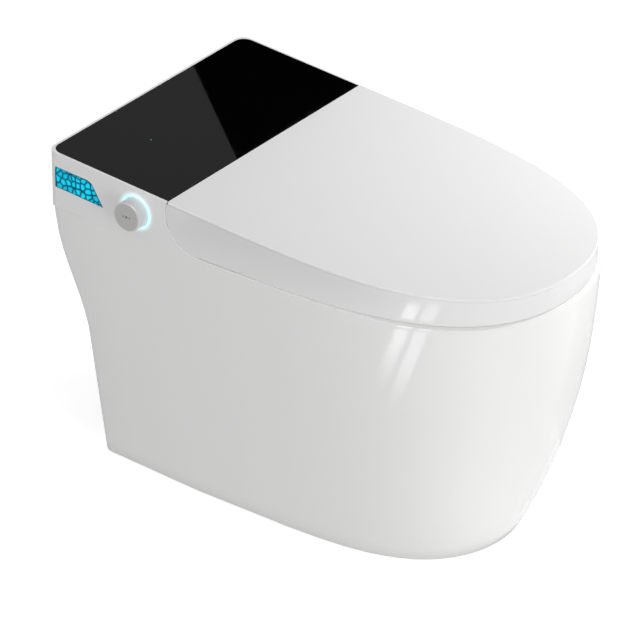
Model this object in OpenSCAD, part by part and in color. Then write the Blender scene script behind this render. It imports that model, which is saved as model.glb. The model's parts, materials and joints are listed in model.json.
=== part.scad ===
/* [Overall size] */
// Width of the lid and of the rear housing
body_w = 410; // [396:1:424]
// Length from the back face to the nose of the lid
body_l = 686; // [670:1:705]
// Rise of the top surface above the ceramic deck, at its back edge
cover_h = 81; // [76:0.5:86]
// Fall of the top surface towards the nose, in degrees
top_tilt = 3.72; // [3.4:0.01:4]
// Length of the glass panel, from the back face to the seam with the lid
glass_l = 198; // [190:1:206]
// Height of the ceramic deck
deck_h = 391; // [386:1:395]
// Distance from the back face to the middle of the floor outlet
drain_set = 290; // [284:1:296]

/* [Ceramic body] */
// Half width of the foot, at the front
foot_half_w = 151; // [140:1:165]
// Length of the foot, from the back face
foot_l = 591; // [575:1:610]
// Distance from the back face to the back of the foot
foot_set = 31; // [24:1:40]
// Amount by which the foot narrows towards the back, on each side
foot_taper = 8; // [0:1:14]
// Set-back of the ceramic deck from the lid, all round
deck_inset = 1.5; // [0.5:0.5:4]
// Fullness of the nose profile between foot and deck
nose_bulge = 2.18; // [1.6:0.02:2.8]
// Thickness of the ceramic wall
wall = 13; // [11:1:15]
// Radius of the upright corners at the back of the ceramic
back_corner_r = 16.5; // [12:0.5:22]
// Half width of the bowl opening
bowl_half_w = 135; // [125:1:142]
// Distance from the back face to the back of the bowl opening
bowl_back = 314; // [310:1:320]
// Width of the rim at the nose
rim_nose_w = 41; // [35:1:49]
// Height of the lowest point of the sump
sump_h = 70; // [64:1:76]
// Radius of the trapway bore
trap_r = 27; // [24:0.5:28]
// Width of the service opening in the deck, under the housing
well_w = 300; // [280:2:320]
// Width of the access opening in the back of the skirt
access_w = 150; // [120:2:180]
// Height of the access opening in the back of the skirt
access_h = 190; // [150:2:220]

/* [Rear housing and glass] */
// Wall thickness of the housing
shell_t = 3.2; // [2.6:0.1:4]
// Thickness of the glass panel
glass_t = 4; // [3:0.5:5]
// Distance of the glass from the sides of the housing
glass_inset = 3.4; // [2.6:0.1:5]
// Radius of the upright corners of the housing
housing_corner_r = 15; // [12:0.5:20]
// Distance from the seam forward to the hinge axis
hinge_back = 47; // [44:0.5:49]
// Gap between the swinging lid and the hollow that it swings in
swing_gap = 0.5; // [0.4:0.1:1]
// Clearance between the deck and the hollow that the lid swings in
deck_gap = 1.1; // [0.8:0.1:1.6]

/* [Lid] */
// Thickness of the lid plate at its rim
lid_t = 4.5; // [4:0.25:5]
// Overhang of the lid plate past its skirt
lid_lip = 2.6; // [1.5:0.1:4]
// Thickness of the skirt of the lid
skirt_t = 4.5; // [3.5:0.5:6]
// Largest opening angle of the lid
lid_open = 105; // [95:1:108]

/* [Seat] */
// Gap between the skirt of the lid and the seat
seat_side_gap = 5; // [4:0.5:8]
// Gap between the lid plate and the top of the seat
seat_top_gap = 8; // [6:0.5:12]
// Height of the seat's underside over the deck
seat_lift = 4; // [3:0.5:6]
// Half width of the opening in the seat
hole_half_w = 107; // [98:1:114]
// Distance from the back face to the back of the seat opening
hole_back = 340; // [334:1:350]
// Distance from the nose of the lid to the front of the seat opening
hole_front = 66; // [58:1:76]
// Depth of the hollow in the sitting surface
dish = 7; // [4:0.5:10]
// Wall thickness of the seat shell
seat_t = 3.6; // [3:0.2:4.4]
// Distance from the hinge axis forward to the back wall of the seat
seat_back = 53; // [50:1:58]

/* [Hinge] */
// Radius of the barrel round the hinge axis
barrel_r = 8; // [7:0.25:8.25]
// Radius of the damper housings
damper_r = 6; // [5:0.25:6.25]
// Radius of the hinge shafts
shaft_r = 3.5; // [3:0.25:4]
// Half width of the fixed bridge between the hinge arms
bridge_half_w = 122; // [112:1:126]
// Width of each hinge arm
arm_w = 9; // [7:0.5:10]
// Side gap between the bridge and the arms
arm_gap = 2; // [1.5:0.25:3]
// Running clearance of shafts in their bores
run_fit = 0.05; // [0.02:0.01:0.09]

/* [Side knob] */
// Radius of the knob
knob_r = 20.5; // [18:0.5:22]
// How far the knob stands out from the housing
knob_out = 19; // [16:0.5:22]
// Distance from the back face to the middle of the knob
knob_set = 147; // [142:1:152]
// Height of the knob over the deck
knob_up = 37; // [34:0.5:40]
// Travel of the knob when it is pressed
knob_press = 2; // [1.5:0.25:2.5]
// Width of the light ring round the knob
halo_w = 3.4; // [2.5:0.1:4]

/* [Side light] */
// Height of the light panel
light_h = 31.5; // [27:0.5:33]
// Rise of the panel's lower edge over its length
light_rise = 6.5; // [3:0.5:8]
// Length of the light panel along its top edge
light_l = 70; // [62:1:76]
// How much longer the lower edge of the light panel is
light_slant = 23; // [16:1:25]
// Height of the light panel's lower edge over the deck
light_up = 24.5; // [22:0.5:28]

/* [Bidet nozzle] */
// Angle of the nozzle below the level
nozzle_tilt = 22; // [20:0.5:24]
// Radius of the nozzle wand
wand_r = 8; // [7:0.25:8.5]
// Length of the nozzle wand
wand_l = 172; // [166:1:178]
// Travel of the nozzle wand
wand_travel = 155; // [140:1:158]
// Wall thickness of the nozzle guide
guide_t = 3; // [2.5:0.25:3.5]
// Length of the shutter, from its pivot down
shutter_l = 44; // [42:0.5:46]
// Width of the shutter
shutter_w = 44; // [40:1:46]

/* [Dryer and other inner parts] */
// Radius of the dryer's blower housing
blower_r = 35; // [32:0.5:37]
// Height of the dryer's blower housing
blower_h = 30; // [26:1:34]
// Radius of the dryer's impeller
impeller_r = 26; // [22:0.5:27]
// Number of blades on the impeller
blade_count = 18; // [12:1:24]
// Thickness of the chassis tray
tray_t = 12; // [10:0.5:13]

/* [Hidden] */
$fn = 48;

// Facets in a half outline: the back edge, its corner, the side and the nose
back_steps = 3;
corner_steps = 4;
side_steps = 3;
nose_steps = 15;
// Exponents of the rounded nose, along and across
nose_p = 3.7;
nose_q = 2.256;
foot_p = 4.7;
seat_p = 2.5;
seat_q = 2.15;
foot_q = 2.08;
deck_q = 2.31;
// Share of the height over which the back of the ceramic sweeps out
sweep_from = 0.5;
sweep_to = 0.92;
// Least gap that lets neighbouring faces pass
touch_gap = 0.3;
far = 1200;

half_w = body_w / 2;
rear_h = deck_h + cover_h;
slope = tan(top_tilt);
seam_y = -glass_l;
function top_z(y) = rear_h + slope * y;
seam_h = top_z(seam_y) - deck_h - deck_gap;
// The hollow passes through the seam and just clears the deck
hollow_r = (seam_h * seam_h + hinge_back * hinge_back) / (2 * seam_h);
swing_r = hollow_r - swing_gap;
hinge_y = seam_y - hinge_back;
hinge_z = deck_h + deck_gap + hollow_r;
lid_back_y = hinge_y + sqrt(pow(swing_r, 2) - pow(top_z(seam_y) - hinge_z, 2));
lid_low_z = hinge_z - swing_r;
tray_z = deck_h - 1;
well_front = bowl_back - wall - 3;
nozzle_line = hollow_r + shell_t + guide_t + wand_r + 3.5;

function smooth(a, b, t) = let (s = max(0, min(1, (t - a) / (b - a)))) s * s * (3 - 2 * s);

// One half of a plan outline, from the middle of the back edge to the nose, as [x, y] points.
// w is the half width, w_back the half width at the back, r the corner radius.
function half_plan(w, w_back, back, shoulder, nose, p, q, r) = [
    for (i = [0 : back_steps - 1]) [(w_back - r) * i / back_steps, back],
    for (i = [0 : corner_steps]) let (a = 90 - 90 * i / corner_steps)
        [w_back - r + r * cos(a), back - r + r * sin(a)],
    for (i = [1 : side_steps - 1]) let (s = i / side_steps)
        [w_back + (w - w_back) * s, (back - r) * (1 - s) + shoulder * s],
    for (i = [0 : nose_steps]) let (a = 90 * i / nose_steps)
        [w * pow(max(0, cos(a)), 2 / q), shoulder + (nose - shoulder) * pow(sin(a), 2 / p)]
];
// The whole outline, counter-clockwise from the middle of the back edge
function plan(h) = concat(
    [for (i = [0 : len(h) - 1]) [-h[i][0], h[i][1]]],
    [for (i = [len(h) - 2 : -1 : 1]) h[i]]
);
function level(pts, z) = [for (p = pts) [p[0], p[1], z]];
// Puts an outline on the sloping top surface, a depth below it
function under_top(pts, depth) = [for (p = pts) [p[0], p[1], top_z(p[1]) - depth]];
// Puts an outline between a level and the sloping surface, at the share s of the way up
function between(pts, z, depth, s) = [for (p = pts) [p[0], p[1], z + s * (top_z(p[1]) - depth - z)]];

// Triangles that close an outline of n points whose first k points lie on its straight back edge
function outline_cap(n, k) = concat(
    [for (i = [0 : k - 2]) each [[i, i + 1, k], [n - k, n - i - 1, (n - i) % n]]],
    [[0, k, n - k]],
    [for (i = [k : n / 2 - 1]) each i == n / 2 - 1 ? [[i, i + 1, n - i]]
        : [[i, i + 1, n - i - 1], [i, n - i - 1, n - i]]]
);
// A skin over a list of rings of equal length, with flat caps, or closed on itself
module skin(rings, closed = false) {
    n = len(rings[0]);
    m = len(rings);
    bands = closed ? m : m - 1;
    walls = [for (j = [0 : bands - 1]) for (i = [0 : n - 1])
        let (a = j * n + i, b = j * n + (i + 1) % n, c = ((j + 1) % m) * n + (i + 1) % n,
             d = ((j + 1) % m) * n + i)
        each [[a, c, b], [a, d, c]]];
    cap = outline_cap(n, back_steps + 1);
    caps = closed ? [] : [for (c = cap) each [c, [for (i = [2, 1, 0]) (m - 1) * n + c[i]]]];
    polyhedron([for (r = rings) each r], concat(walls, caps), convexity = 10);
}

// Moves a shape drawn from the back face so that the floor outlet is at the origin
module from_back() translate([0, drain_set, 0]) children();
// Keeps what lies below the top surface lowered by depth
module below_top(depth) {
    intersection() {
        children();
        translate([0, 0, rear_h - depth]) rotate([top_tilt, 0, 0])
            translate([-far / 2, -far, -far]) cube([far, far + 200, far]);
    }
}
// Lays a shape on the top surface lowered by depth: its y runs along the slope
module on_top(depth = 0) translate([0, 0, rear_h - depth]) rotate([top_tilt, 0, 0]) children();
// Draws a side view, given as [y, z], and gives it a width from x0 to x1
module side_view(x0, x1) translate([x0, 0, 0]) rotate([90, 0, 90]) linear_extrude(x1 - x0) children();
module x_rod(x0, x1, y, z, r) translate([x0, y, z]) rotate([0, 90, 0]) cylinder(h = x1 - x0, r = r);
module both_sides() {
    children();
    mirror([1, 0, 0]) children();
}
module rod(a, b, r) {
    d = b - a;
    l = norm(d);
    translate(a) rotate([0, acos(d[2] / l), atan2(d[1], d[0])]) cylinder(h = l, r = r);
}

/* Ceramic */
function ceramic_back(u) = -(foot_set - 3 * u) * (1 - smooth(sweep_from, sweep_to, u));
function ceramic_nose(u) = -(foot_l + (body_l - deck_inset + 1 - foot_l) * (1 - pow(1 - u, nose_bulge)));
function ceramic_w(u) = foot_half_w + (half_w - deck_inset - foot_half_w) * u;
// Outline of the ceramic at the share u of its height, drawn in by inset
function ceramic_plan(u, inset) = plan(half_plan(
    ceramic_w(u) - inset, ceramic_w(u) - foot_taper * (1 - u) - inset, ceramic_back(u) - inset,
    seam_y, ceramic_nose(u) + inset, foot_p, foot_q + (deck_q - foot_q) * u,
    max(4, back_corner_r - inset)));
bowl_depth = deck_h - sump_h;
function bowl_half(t) = bowl_half_w * (1 - 0.72 * pow(t, 1.7));
// Outline of the bowl at the share t of its depth, made larger by grow
function bowl_plan(t, grow) = let (w = bowl_half(t) + grow)
    plan(half_plan(w, w, -bowl_back - 62 * pow(t, 1.3) + grow, -bowl_back - 62 * pow(t, 1.3) + grow - w * 0.98,
        -(body_l - deck_inset - rim_nose_w) + 205 * pow(t, 1.5) - grow, 2.15, 2.1, w * 0.8));

outer_levels = [0.06, 0.14, 0.24, 0.34, 0.44, 0.52, 0.58, 0.64, 0.7, 0.76, 0.82, 0.88, 0.94];
inner_levels = [0, 0.2, 0.44, 0.58, 0.7, 0.82, 0.94];
bowl_levels = [0.06, 0.16, 0.28, 0.42, 0.56, 0.7, 0.84, 0.94];
under_levels = [0.1, 0.28, 0.46, 0.64, 0.82, 0.96];
foot_edge = 2;
gasket_h = 14;
deck_edge = 3;
rim_edge = 7;
// The casting is drawn as a deck, a skirt and a bowl that meet in one level
cut_z = deck_h - wall - 1;
cut_u = cut_z / deck_h;
cut_t = (deck_h - cut_z) / bowl_depth;
function deck_rings() = [level(bowl_plan(cut_t, 0), cut_z), level(ceramic_plan(cut_u, 0), cut_z),
    level(ceramic_plan(1, 0), deck_h - deck_edge), level(ceramic_plan(1, deck_edge * 0.3), deck_h - deck_edge * 0.3),
    level(ceramic_plan(1, deck_edge), deck_h), level(bowl_plan(0, rim_edge), deck_h),
    level(bowl_plan(0, rim_edge * 0.3), deck_h - rim_edge * 0.3), level(bowl_plan(0.01, 0), deck_h - rim_edge)];
function skirt_rings() = concat(
    [level(ceramic_plan(cut_u, wall), cut_z)],
    [for (i = [len(inner_levels) - 1 : -1 : 0]) let (u = inner_levels[i]) level(ceramic_plan(u, wall), u * deck_h)],
    [level(ceramic_plan(0, foot_edge), 0), level(ceramic_plan(0.005, 0), foot_edge)],
    [for (u = outer_levels) level(ceramic_plan(u, 0), u * deck_h)],
    [level(ceramic_plan(cut_u, 0), cut_z)]);
function bowl_rings() = concat(
    [level(bowl_plan(1, wall - 14), sump_h - wall)],
    [for (i = [len(under_levels) - 1 : -1 : 0]) let (t = under_levels[i])
        level(bowl_plan(t, wall), deck_h - t * bowl_depth - 4)],
    [level(bowl_plan(cut_t, wall), cut_z), level(bowl_plan(cut_t, 0), cut_z)],
    [for (t = bowl_levels) level(bowl_plan(t, 0), deck_h - t * bowl_depth)],
    [level(bowl_plan(1, -16), sump_h)]);

// The trapway's bends, as [y, z] from the back face
trap_path = [[-412, sump_h + 28], [-350, sump_h + 36], [-262, deck_h - 186], [-214, deck_h - 199], [-202, deck_h - 269],
             [-drain_set, 48]];
module trapway(r) {
    $fn = 32;
    for (i = [0 : len(trap_path) - 2])
        rod([0, trap_path[i][0], trap_path[i][1]], [0, trap_path[i + 1][0], trap_path[i + 1][1]], r);
    for (i = [1 : len(trap_path) - 1]) translate([0, trap_path[i][0], trap_path[i][1]]) sphere(r * 1.02);
    translate([0, -drain_set, 0]) cylinder(h = 48, r = r);
}
// Mouth for the nozzle and the dryer
module mouth_cut() translate([-34, -bowl_back - 22, deck_h - 64]) cube([108, 50, 80]);
module ceramic_deck() {
    color("#f4f3f0") from_back() difference() {
        skin(deck_rings(), closed = true);
        mouth_cut();
        screw_places() translate([0, 0, -24]) cylinder(h = 30, r = 2 + run_fit);
        // Service opening under the housing
        translate([-well_w / 2, -well_front, deck_h - 40]) cube([well_w, well_front - 34, 60]);
    }
}
module ceramic_skirt() {
    color("#f4f3f0") from_back() difference() {
        skin(skirt_rings(), closed = true);
        // Access opening in the back
        translate([0, 10, 0]) rotate([90, 0, 0]) linear_extrude(80) union() {
            translate([-access_w / 2, -5]) square([access_w, access_h - access_w / 4 + 5]);
            translate([-access_w / 4, 0]) square([access_w / 2, access_h]);
            for (s = [-1, 1]) translate([s * access_w / 4, access_h - access_w / 4]) circle(access_w / 4);
        }
    }
}
module ceramic_bowl() {
    color("#f4f3f0") from_back() difference() {
        union() {
            skin(bowl_rings());
            difference() {
                trapway(trap_r + 8);
                // Ends inside the back wall of the bowl
                side_view(-60, 60) polygon([[-600, sump_h - 50], [-378, sump_h - 50], [-347, sump_h + 95],
                    [-600, sump_h + 95]]);
            }
            // Shoulder over the gasket
            translate([0, -drain_set, gasket_h]) cylinder(h = 30, r = trap_r + 11);
        }
        trapway(trap_r);
        translate([0, -drain_set, -1]) cylinder(h = 30, r = trap_r);
        mouth_cut();
        // Inlet of the flush hose
        translate([hose_x, -bowl_back - 60, hose_low]) rotate([-90, 0, 0]) cylinder(h = 80, r = hose_r + run_fit);
    }
}
module outlet_gasket() {
    color("#3b3b3d") difference() {
        cylinder(h = gasket_h, r = trap_r + 22);
        translate([0, 0, -1]) cylinder(h = gasket_h + 2, r = trap_r + 8 + run_fit);
    }
}

/* Housing, glass and what shines through them */
module housing_plan(inset, front) {
    r = max(2, housing_corner_r - inset);
    polygon([
        for (i = [0 : 8]) let (a = 90 * i / 8) [half_w - inset - r + r * cos(a), -inset - r + r * sin(a)],
        for (i = [0 : 8]) let (a = 90 + 90 * i / 8) [-half_w + inset + r + r * cos(a), -inset - r + r * sin(a)],
        [-half_w + inset, front],
        [half_w - inset, front]
    ]);
}
knob_y = -knob_set;
knob_z = deck_h + knob_up;
light_z = deck_h + light_up;
light_depth = 2.2;
// The light panel's outline on the side wall, as [y, z], made smaller by inset
// Its lower edge rises to the back, its upper edge is level
function light_foot(y) = light_z + light_rise * (y + light_l + light_slant) / (light_l + light_slant);
module light_shape(inset) offset(delta = -inset) polygon([
    [-housing_corner_r + 2, light_foot(-housing_corner_r + 2)], [-housing_corner_r + 2, light_z + light_h],
    [-light_l, light_z + light_h], [-light_l - 5, light_z + light_h - 3], [-light_l - light_slant, light_z]]);
module rear_housing() {
    color("#f1f1ef") from_back() difference() {
        union() {
            difference() {
                below_top(0) translate([0, 0, deck_h]) linear_extrude(120) housing_plan(0, hinge_y);
                below_top(glass_t + shell_t) translate([0, 0, deck_h - 1]) linear_extrude(120)
                    housing_plan(shell_t, hinge_y - 10);
            }
            // Curved front wall behind the lid
            below_top(glass_t) intersection() {
                translate([0, 0, deck_h]) linear_extrude(100) housing_plan(shell_t / 2, hinge_y);
                x_rod(-half_w, half_w, hinge_y, hinge_z, hollow_r + shell_t);
                translate([-half_w, hinge_y, deck_h]) cube([body_w, 100, 100]);
            }
            // Tabs for the screws
            both_sides() for (y = screw_y) translate([screw_x - 7, y - 8, floor_z])
                cube([half_w - shell_t / 2 - screw_x + 7, 16, 3]);
        }
        x_rod(-half_w - 1, half_w + 1, hinge_y, hinge_z, hollow_r);
        // Pocket of the glass panel
        on_top(glass_t) linear_extrude(20) glass_plan(glass_inset - 0.2, 10);
        // Holes for the display, the knob and the light panel
        on_top(glass_t + shell_t + 5) translate([-126, -108, 0]) cube([84, 46, 20]);
        x_rod(-half_w - 1, -half_w + 20, knob_y, knob_z, knob_r + halo_w);
        side_view(-half_w - 1, -half_w + light_depth) light_shape(0);
        side_view(-half_w - 1, -half_w + shell_t + 1) light_shape(3);
        // Recessed hole of the mains gland
        gland_place() cylinder(h = 10, r = 7);
        gland_place() translate([0, 0, -1]) cylinder(h = gland_flange + 1, r = 10.4);
        screw_places() translate([0, 0, -2]) cylinder(h = 30, r = 2 + run_fit);
    }
}
// Upper face of the tray's flange, where most of the inner pieces stand
floor_z = deck_h + 3;
screw_x = 175;
screw_y = [-24, -188];
// Places of the screws that hold the housing's tabs and the tray down to the ceramic
module screw_places() {
    for (s = [-1, 1]) for (y = screw_y) translate([s * screw_x, y, floor_z]) children();
}
gland_flange = 1.6;
module gland_place() translate([-128, 0, deck_h + 22]) rotate([90, 0, 0]) children();
module housing_screws() {
    color("#b9bcc0") from_back() screw_places() union() {
        translate([0, 0, 3]) cylinder(h = 3, r = 4);
        translate([0, 0, -14]) cylinder(h = 17.5, r = 2);
    }
}
module glass_plan(inset, extra) {
    r = housing_corner_r - inset + 5;
    x = half_w - inset;
    polygon([
        for (i = [0 : 8]) let (a = 90 * i / 8) [x - r + r * cos(a), -inset - r + r * sin(a)],
        for (i = [0 : 8]) let (a = 90 + 90 * i / 8) [-x + r + r * cos(a), -inset - r + r * sin(a)],
        [-x, seam_y / cos(top_tilt) - extra],
        [x, seam_y / cos(top_tilt) - extra]
    ]);
}
module glass_top() {
    color("#101114") from_back() on_top(glass_t) linear_extrude(glass_t) glass_plan(glass_inset, 0);
}
module light_lens() {
    color("#19c3e6") from_back() side_view(-half_w, -half_w + light_depth) light_shape(0.2);
}
// The board covers the opening behind the lens from inside
module light_board() {
    color("#1d5a3a") from_back() {
        side_view(-half_w + shell_t, -half_w + shell_t + 1.6) polygon([
            [-housing_corner_r - 0.2, light_foot(-housing_corner_r) + 1],
            [-housing_corner_r - 0.2, light_z + light_h - 1],
            [-light_l, light_z + light_h - 1], [-light_l - light_slant + 4, light_z + 2]]);
        for (i = [0 : 4]) translate([-half_w + shell_t - 0.8, -light_l + 2 + i * 12, light_z + light_h / 2])
            cube([1.2, 4, 4]);
    }
}

/* Knob */
// Depth at which the light ring meets the encoder
ring_in = shell_t + 2;
module knob_light_ring() {
    color("#9ff3ff") from_back() difference() {
        union() {
            x_rod(-half_w - 0.8, -half_w + shell_t + 1, knob_y, knob_z, knob_r + halo_w - 0.2);
            x_rod(-half_w + shell_t, -half_w + ring_in, knob_y, knob_z, knob_r + halo_w + 1.5);
        }
        x_rod(-half_w - 2, -half_w + 6, knob_y, knob_z, knob_r + 0.6);
    }
}
module encoder_body() {
    color("#2a2b2e") from_back() difference() {
        union() {
            x_rod(-half_w + 11, -half_w + 26, knob_y, knob_z, 13);
            x_rod(-half_w + ring_in, -half_w + 14, knob_y, knob_z, knob_r + halo_w + 1.5);
        }
        x_rod(-half_w + 3, -half_w + 11.6, knob_y, knob_z, knob_r + 0.8);
        x_rod(-half_w + 3, -half_w + 24, knob_y, knob_z, 4 + run_fit);
    }
}
module encoder_plunger() {
    color("#8d9094") from_back() difference() {
        x_rod(-half_w + 4, -half_w + 24 - knob_press - touch_gap, knob_y, knob_z, 4);
        x_rod(-half_w + 3, -half_w + 16, knob_y, knob_z, 2.4 + run_fit);
    }
}
module side_knob() {
    color("#b8b9bb") from_back() difference() {
        union() {
            translate([-half_w - knob_out, knob_y, knob_z]) rotate([0, 90, 0]) rotate_extrude()
                polygon([[0, 0], [knob_r - 1.6, 0], [knob_r - 0.4, 0.5], [knob_r, 1.6], [knob_r, knob_out + 2],
                         [4.4, knob_out + 2], [4.4, knob_out - 3], [0, knob_out - 3]]);
            x_rod(-half_w - 4, -half_w + 15, knob_y, knob_z, 2.4);
        }
        for (s = [-1, 0, 1]) x_rod(-half_w - knob_out - 1, -half_w - knob_out + 0.4, knob_y + 5 * s, knob_z,
            s == 0 ? 1.3 : 0.8);
    }
}

/* Tray, bridge and hinge */
module chassis_tray() {
    color("#d9d9d6") from_back() difference() {
        union() {
            translate([-well_w / 2 + 1, -well_front + 1, tray_z - tray_t])
                cube([well_w - 2, well_front - 36, tray_t]);
            // Flange on the deck
            translate([-184, hinge_y + 34, deck_h]) cube([368, -hinge_y - 50, 3]);
            translate([-well_w / 2 + 1, hinge_y + 34, tray_z - 1]) cube([well_w - 2, -hinge_y - 69, 4]);
        }
        // Slot for the nozzle guide and the dryer duct
        translate([-18, -well_front - 5, tray_z - 30]) cube([84, 160, 60]);
        translate([-shutter_w / 2 - ear_t - 3, -well_front - 5, tray_z - 30]) cube([shutter_w + 2 * ear_t + 50, 26, 60]);
        // Holes for the water inlet and the flush valve
        translate([inlet_x, inlet_y, tray_z - 30]) cylinder(h = 60, r = 13);
        translate([-96, -84, tray_z - 30]) cylinder(h = 60, r = 10);
        screw_places() translate([0, 0, -30]) cylinder(h = 40, r = 2 + run_fit);
    }
}
bridge_base = 40;
module bridge_shape() {
    hull() {
        translate([hinge_y, hinge_z]) circle(r = barrel_r, $fn = 40);
        translate([hinge_y - bridge_base - 7, tray_z]) square([bridge_base, 6]);
    }
}
module hinge_bridge() {
    color("#efefed") from_back() difference() {
        side_view(-bridge_half_w, bridge_half_w) bridge_shape();
        for (s = [-1, 1]) x_rod(s > 0 ? bridge_half_w - 44 : -bridge_half_w - 1,
            s > 0 ? bridge_half_w + 1 : -bridge_half_w + 44, hinge_y, hinge_z, damper_r + 0.02);
        // Room for the nozzle guide and the dryer duct under the bridge
        translate([-shutter_w / 2 - ear_t - 2, hinge_y - 60, tray_z - 1]) cube([shutter_w + 2 * ear_t + 48, 70, 10]);
        // Hollow of the moulding, open below
        for (x = [[-bridge_half_w + 4, -34], [82, bridge_half_w - 4]]) side_view(x[0], x[1]) polygon([
            [hinge_y - 41, tray_z - 1], [hinge_y - 11, tray_z - 1], [hinge_y - 7, hinge_z - 18],
            [hinge_y - 17, hinge_z - 18]]);
    }
}
module damper() difference() {
    x_rod(-bridge_half_w, -bridge_half_w + 43, hinge_y, hinge_z, damper_r);
    x_rod(-bridge_half_w - 1, -bridge_half_w + 38, hinge_y, hinge_z, shaft_r + run_fit);
}
module lid_damper() color("#4a4d52") from_back() damper();
module seat_damper() color("#4a4d52") from_back() mirror([1, 0, 0]) damper();
arm_lid_x = bridge_half_w + arm_gap;
arm_seat_x = arm_lid_x + arm_w + arm_gap;
module hinge_shaft() x_rod(-arm_seat_x - arm_w, -bridge_half_w + 37, hinge_y, hinge_z, shaft_r);
module lid_hinge_shaft() color("#c8cacd") from_back() hinge_shaft();
module seat_hinge_shaft() color("#c8cacd") from_back() mirror([1, 0, 0]) hinge_shaft();
// The lid's shaft is on the left and the seat's on the right; each turns in the other's arm
module lid_hinge_arms() {
    color("#ededea") from_back() for (s = [-1, 1]) difference() {
        side_view(s > 0 ? arm_lid_x : -arm_lid_x - arm_w, s > 0 ? arm_lid_x + arm_w : -arm_lid_x) hull() {
            translate([hinge_y, hinge_z]) circle(r = barrel_r, $fn = 40);
            polygon([for (y = [hinge_y - 34, hinge_y + 6]) [y, top_z(y) - lid_t - 2],
                     for (y = [hinge_y + 6, hinge_y - 34]) [y, top_z(y) - lid_t]]);
        }
        x_rod(-half_w, half_w, hinge_y, hinge_z, shaft_r + (s > 0 ? run_fit : 0));
    }
}
module seat_hinge_arms() {
    color("#ededea") from_back() for (s = [-1, 1]) difference() {
        side_view(s > 0 ? arm_seat_x : -arm_seat_x - arm_w, s > 0 ? arm_seat_x + arm_w : -arm_seat_x) hull() {
            translate([hinge_y, hinge_z]) circle(r = barrel_r, $fn = 40);
            translate([hinge_y - seat_back, seat_low + 3]) square([2, seat_high(hinge_y - seat_back) - seat_low - 10]);
        }
        x_rod(-half_w, half_w, hinge_y, hinge_z, shaft_r + (s < 0 ? run_fit : 0));
    }
}

/* Lid */
function lid_plan(inset, back) = plan(half_plan(half_w - inset, half_w - inset, back, seam_y - 24,
    -body_l + inset, nose_p, nose_q, 3));
module lid_plate() {
    color("#f6f6f4") from_back() skin([
        under_top(lid_plan(1, lid_back_y - 0.8), lid_t),
        under_top(lid_plan(0, lid_back_y), lid_t - 1),
        under_top(lid_plan(0, lid_back_y), 1.6),
        under_top(lid_plan(0.5, lid_back_y - 0.2), 0.5),
        under_top(lid_plan(1.6, lid_back_y - 0.8), 0)
    ]);
}
skirt_half_w = half_w - lid_lip;
function skirt_plan(inset) = plan(half_plan(skirt_half_w - inset, skirt_half_w - inset, lid_back_y - 1 - inset,
    seam_y - 24, -body_l + lid_lip + inset, nose_p, nose_q, 3));
skirt_draft = 1.4;
module lid_skirt() {
    color("#f4f4f2") from_back() difference() {
        skin([
            between(skirt_plan(skirt_t), lid_low_z, lid_t, 1),
            between(skirt_plan(skirt_t + skirt_draft), lid_low_z, lid_t, 0),
            between(skirt_plan(skirt_draft + 1.6), lid_low_z, lid_t, 0),
            between(skirt_plan(skirt_draft + 0.4), lid_low_z, lid_t, 0.02),
            between(skirt_plan(skirt_draft), lid_low_z, lid_t, 0.06),
            between(skirt_plan(skirt_draft * 0.4), lid_low_z, lid_t, 0.5),
            between(skirt_plan(0), lid_low_z, lid_t, 1)
        ], closed = true);
        // Open at the back, between the side walls
        translate([-skirt_half_w + skirt_t + 0.5, hinge_y - 5, lid_low_z - 5])
            cube([2 * (skirt_half_w - skirt_t - 0.5), 100, 100]);
        // Back ends rounded about the hinge axis
        difference() {
            translate([-half_w - 5, hinge_y, lid_low_z - 20]) cube([body_w + 10, 100, 120]);
            x_rod(-half_w - 6, half_w + 6, hinge_y, hinge_z, swing_r);
        }
    }
}
module lid_bumpers() {
    color("#d5d6d6") from_back() below_top(lid_t) both_sides() for (p = [[half_w - 47, -430], [half_w - 107, 86 - body_l]])
        translate([p[0], p[1], seat_high(p[1]) + 1.2]) cylinder(h = 20, r = 6);
}

/* Seat */
seat_low = deck_h + seat_lift;
seat_half_w = skirt_half_w - skirt_t - skirt_draft - seat_side_gap;
seat_nose = -body_l + lid_lip + skirt_t + skirt_draft + seat_side_gap;
seat_depth = lid_t + seat_top_gap;
function seat_high(y) = top_z(y) - seat_depth;
function seat_plan(inset) = plan(half_plan(seat_half_w - inset, seat_half_w - inset - 14, hinge_y - seat_back - inset,
    hinge_y - seat_back - 60, seat_nose + inset, seat_p, seat_q, 28));
function hole_plan(grow) = plan(half_plan(hole_half_w + grow, hole_half_w + grow, -hole_back + grow,
    -hole_back - hole_half_w, -body_l + hole_front - grow, 2.2, 2.1, hole_half_w * 0.78));
module seat_ring() {
    color("#f2f2f0") from_back() skin([
        between(hole_plan(0), seat_low, seat_depth, 0),
        between(hole_plan(0), seat_low, seat_depth + dish, 0.8),
        between(hole_plan(2), seat_low, seat_depth + dish, 0.96),
        between(hole_plan(6), seat_low, seat_depth + dish, 1),
        between(hole_plan(26), seat_low, seat_depth + dish * 0.45, 1),
        between(seat_plan(12), seat_low, seat_depth, 1),
        between(seat_plan(3), seat_low, seat_depth + 0.6, 1),
        between(seat_plan(0.6), seat_low, seat_depth, 0.9),
        between(seat_plan(0), seat_low, seat_depth, 0.75),
        between(seat_plan(0), seat_low, seat_depth, 0),
        between(seat_plan(seat_t), seat_low, seat_depth, 0),
        between(seat_plan(seat_t), seat_low, seat_depth + seat_t, 0.85),
        between(seat_plan(12), seat_low, seat_depth + seat_t, 1),
        between(hole_plan(26), seat_low, seat_depth + seat_t + dish * 0.45, 1),
        between(hole_plan(seat_t + 3), seat_low, seat_depth + seat_t + dish, 0.97),
        between(hole_plan(seat_t), seat_low, seat_depth + dish, 0.8),
        between(hole_plan(seat_t), seat_low, seat_depth, 0)
    ], closed = true);
}
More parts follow.
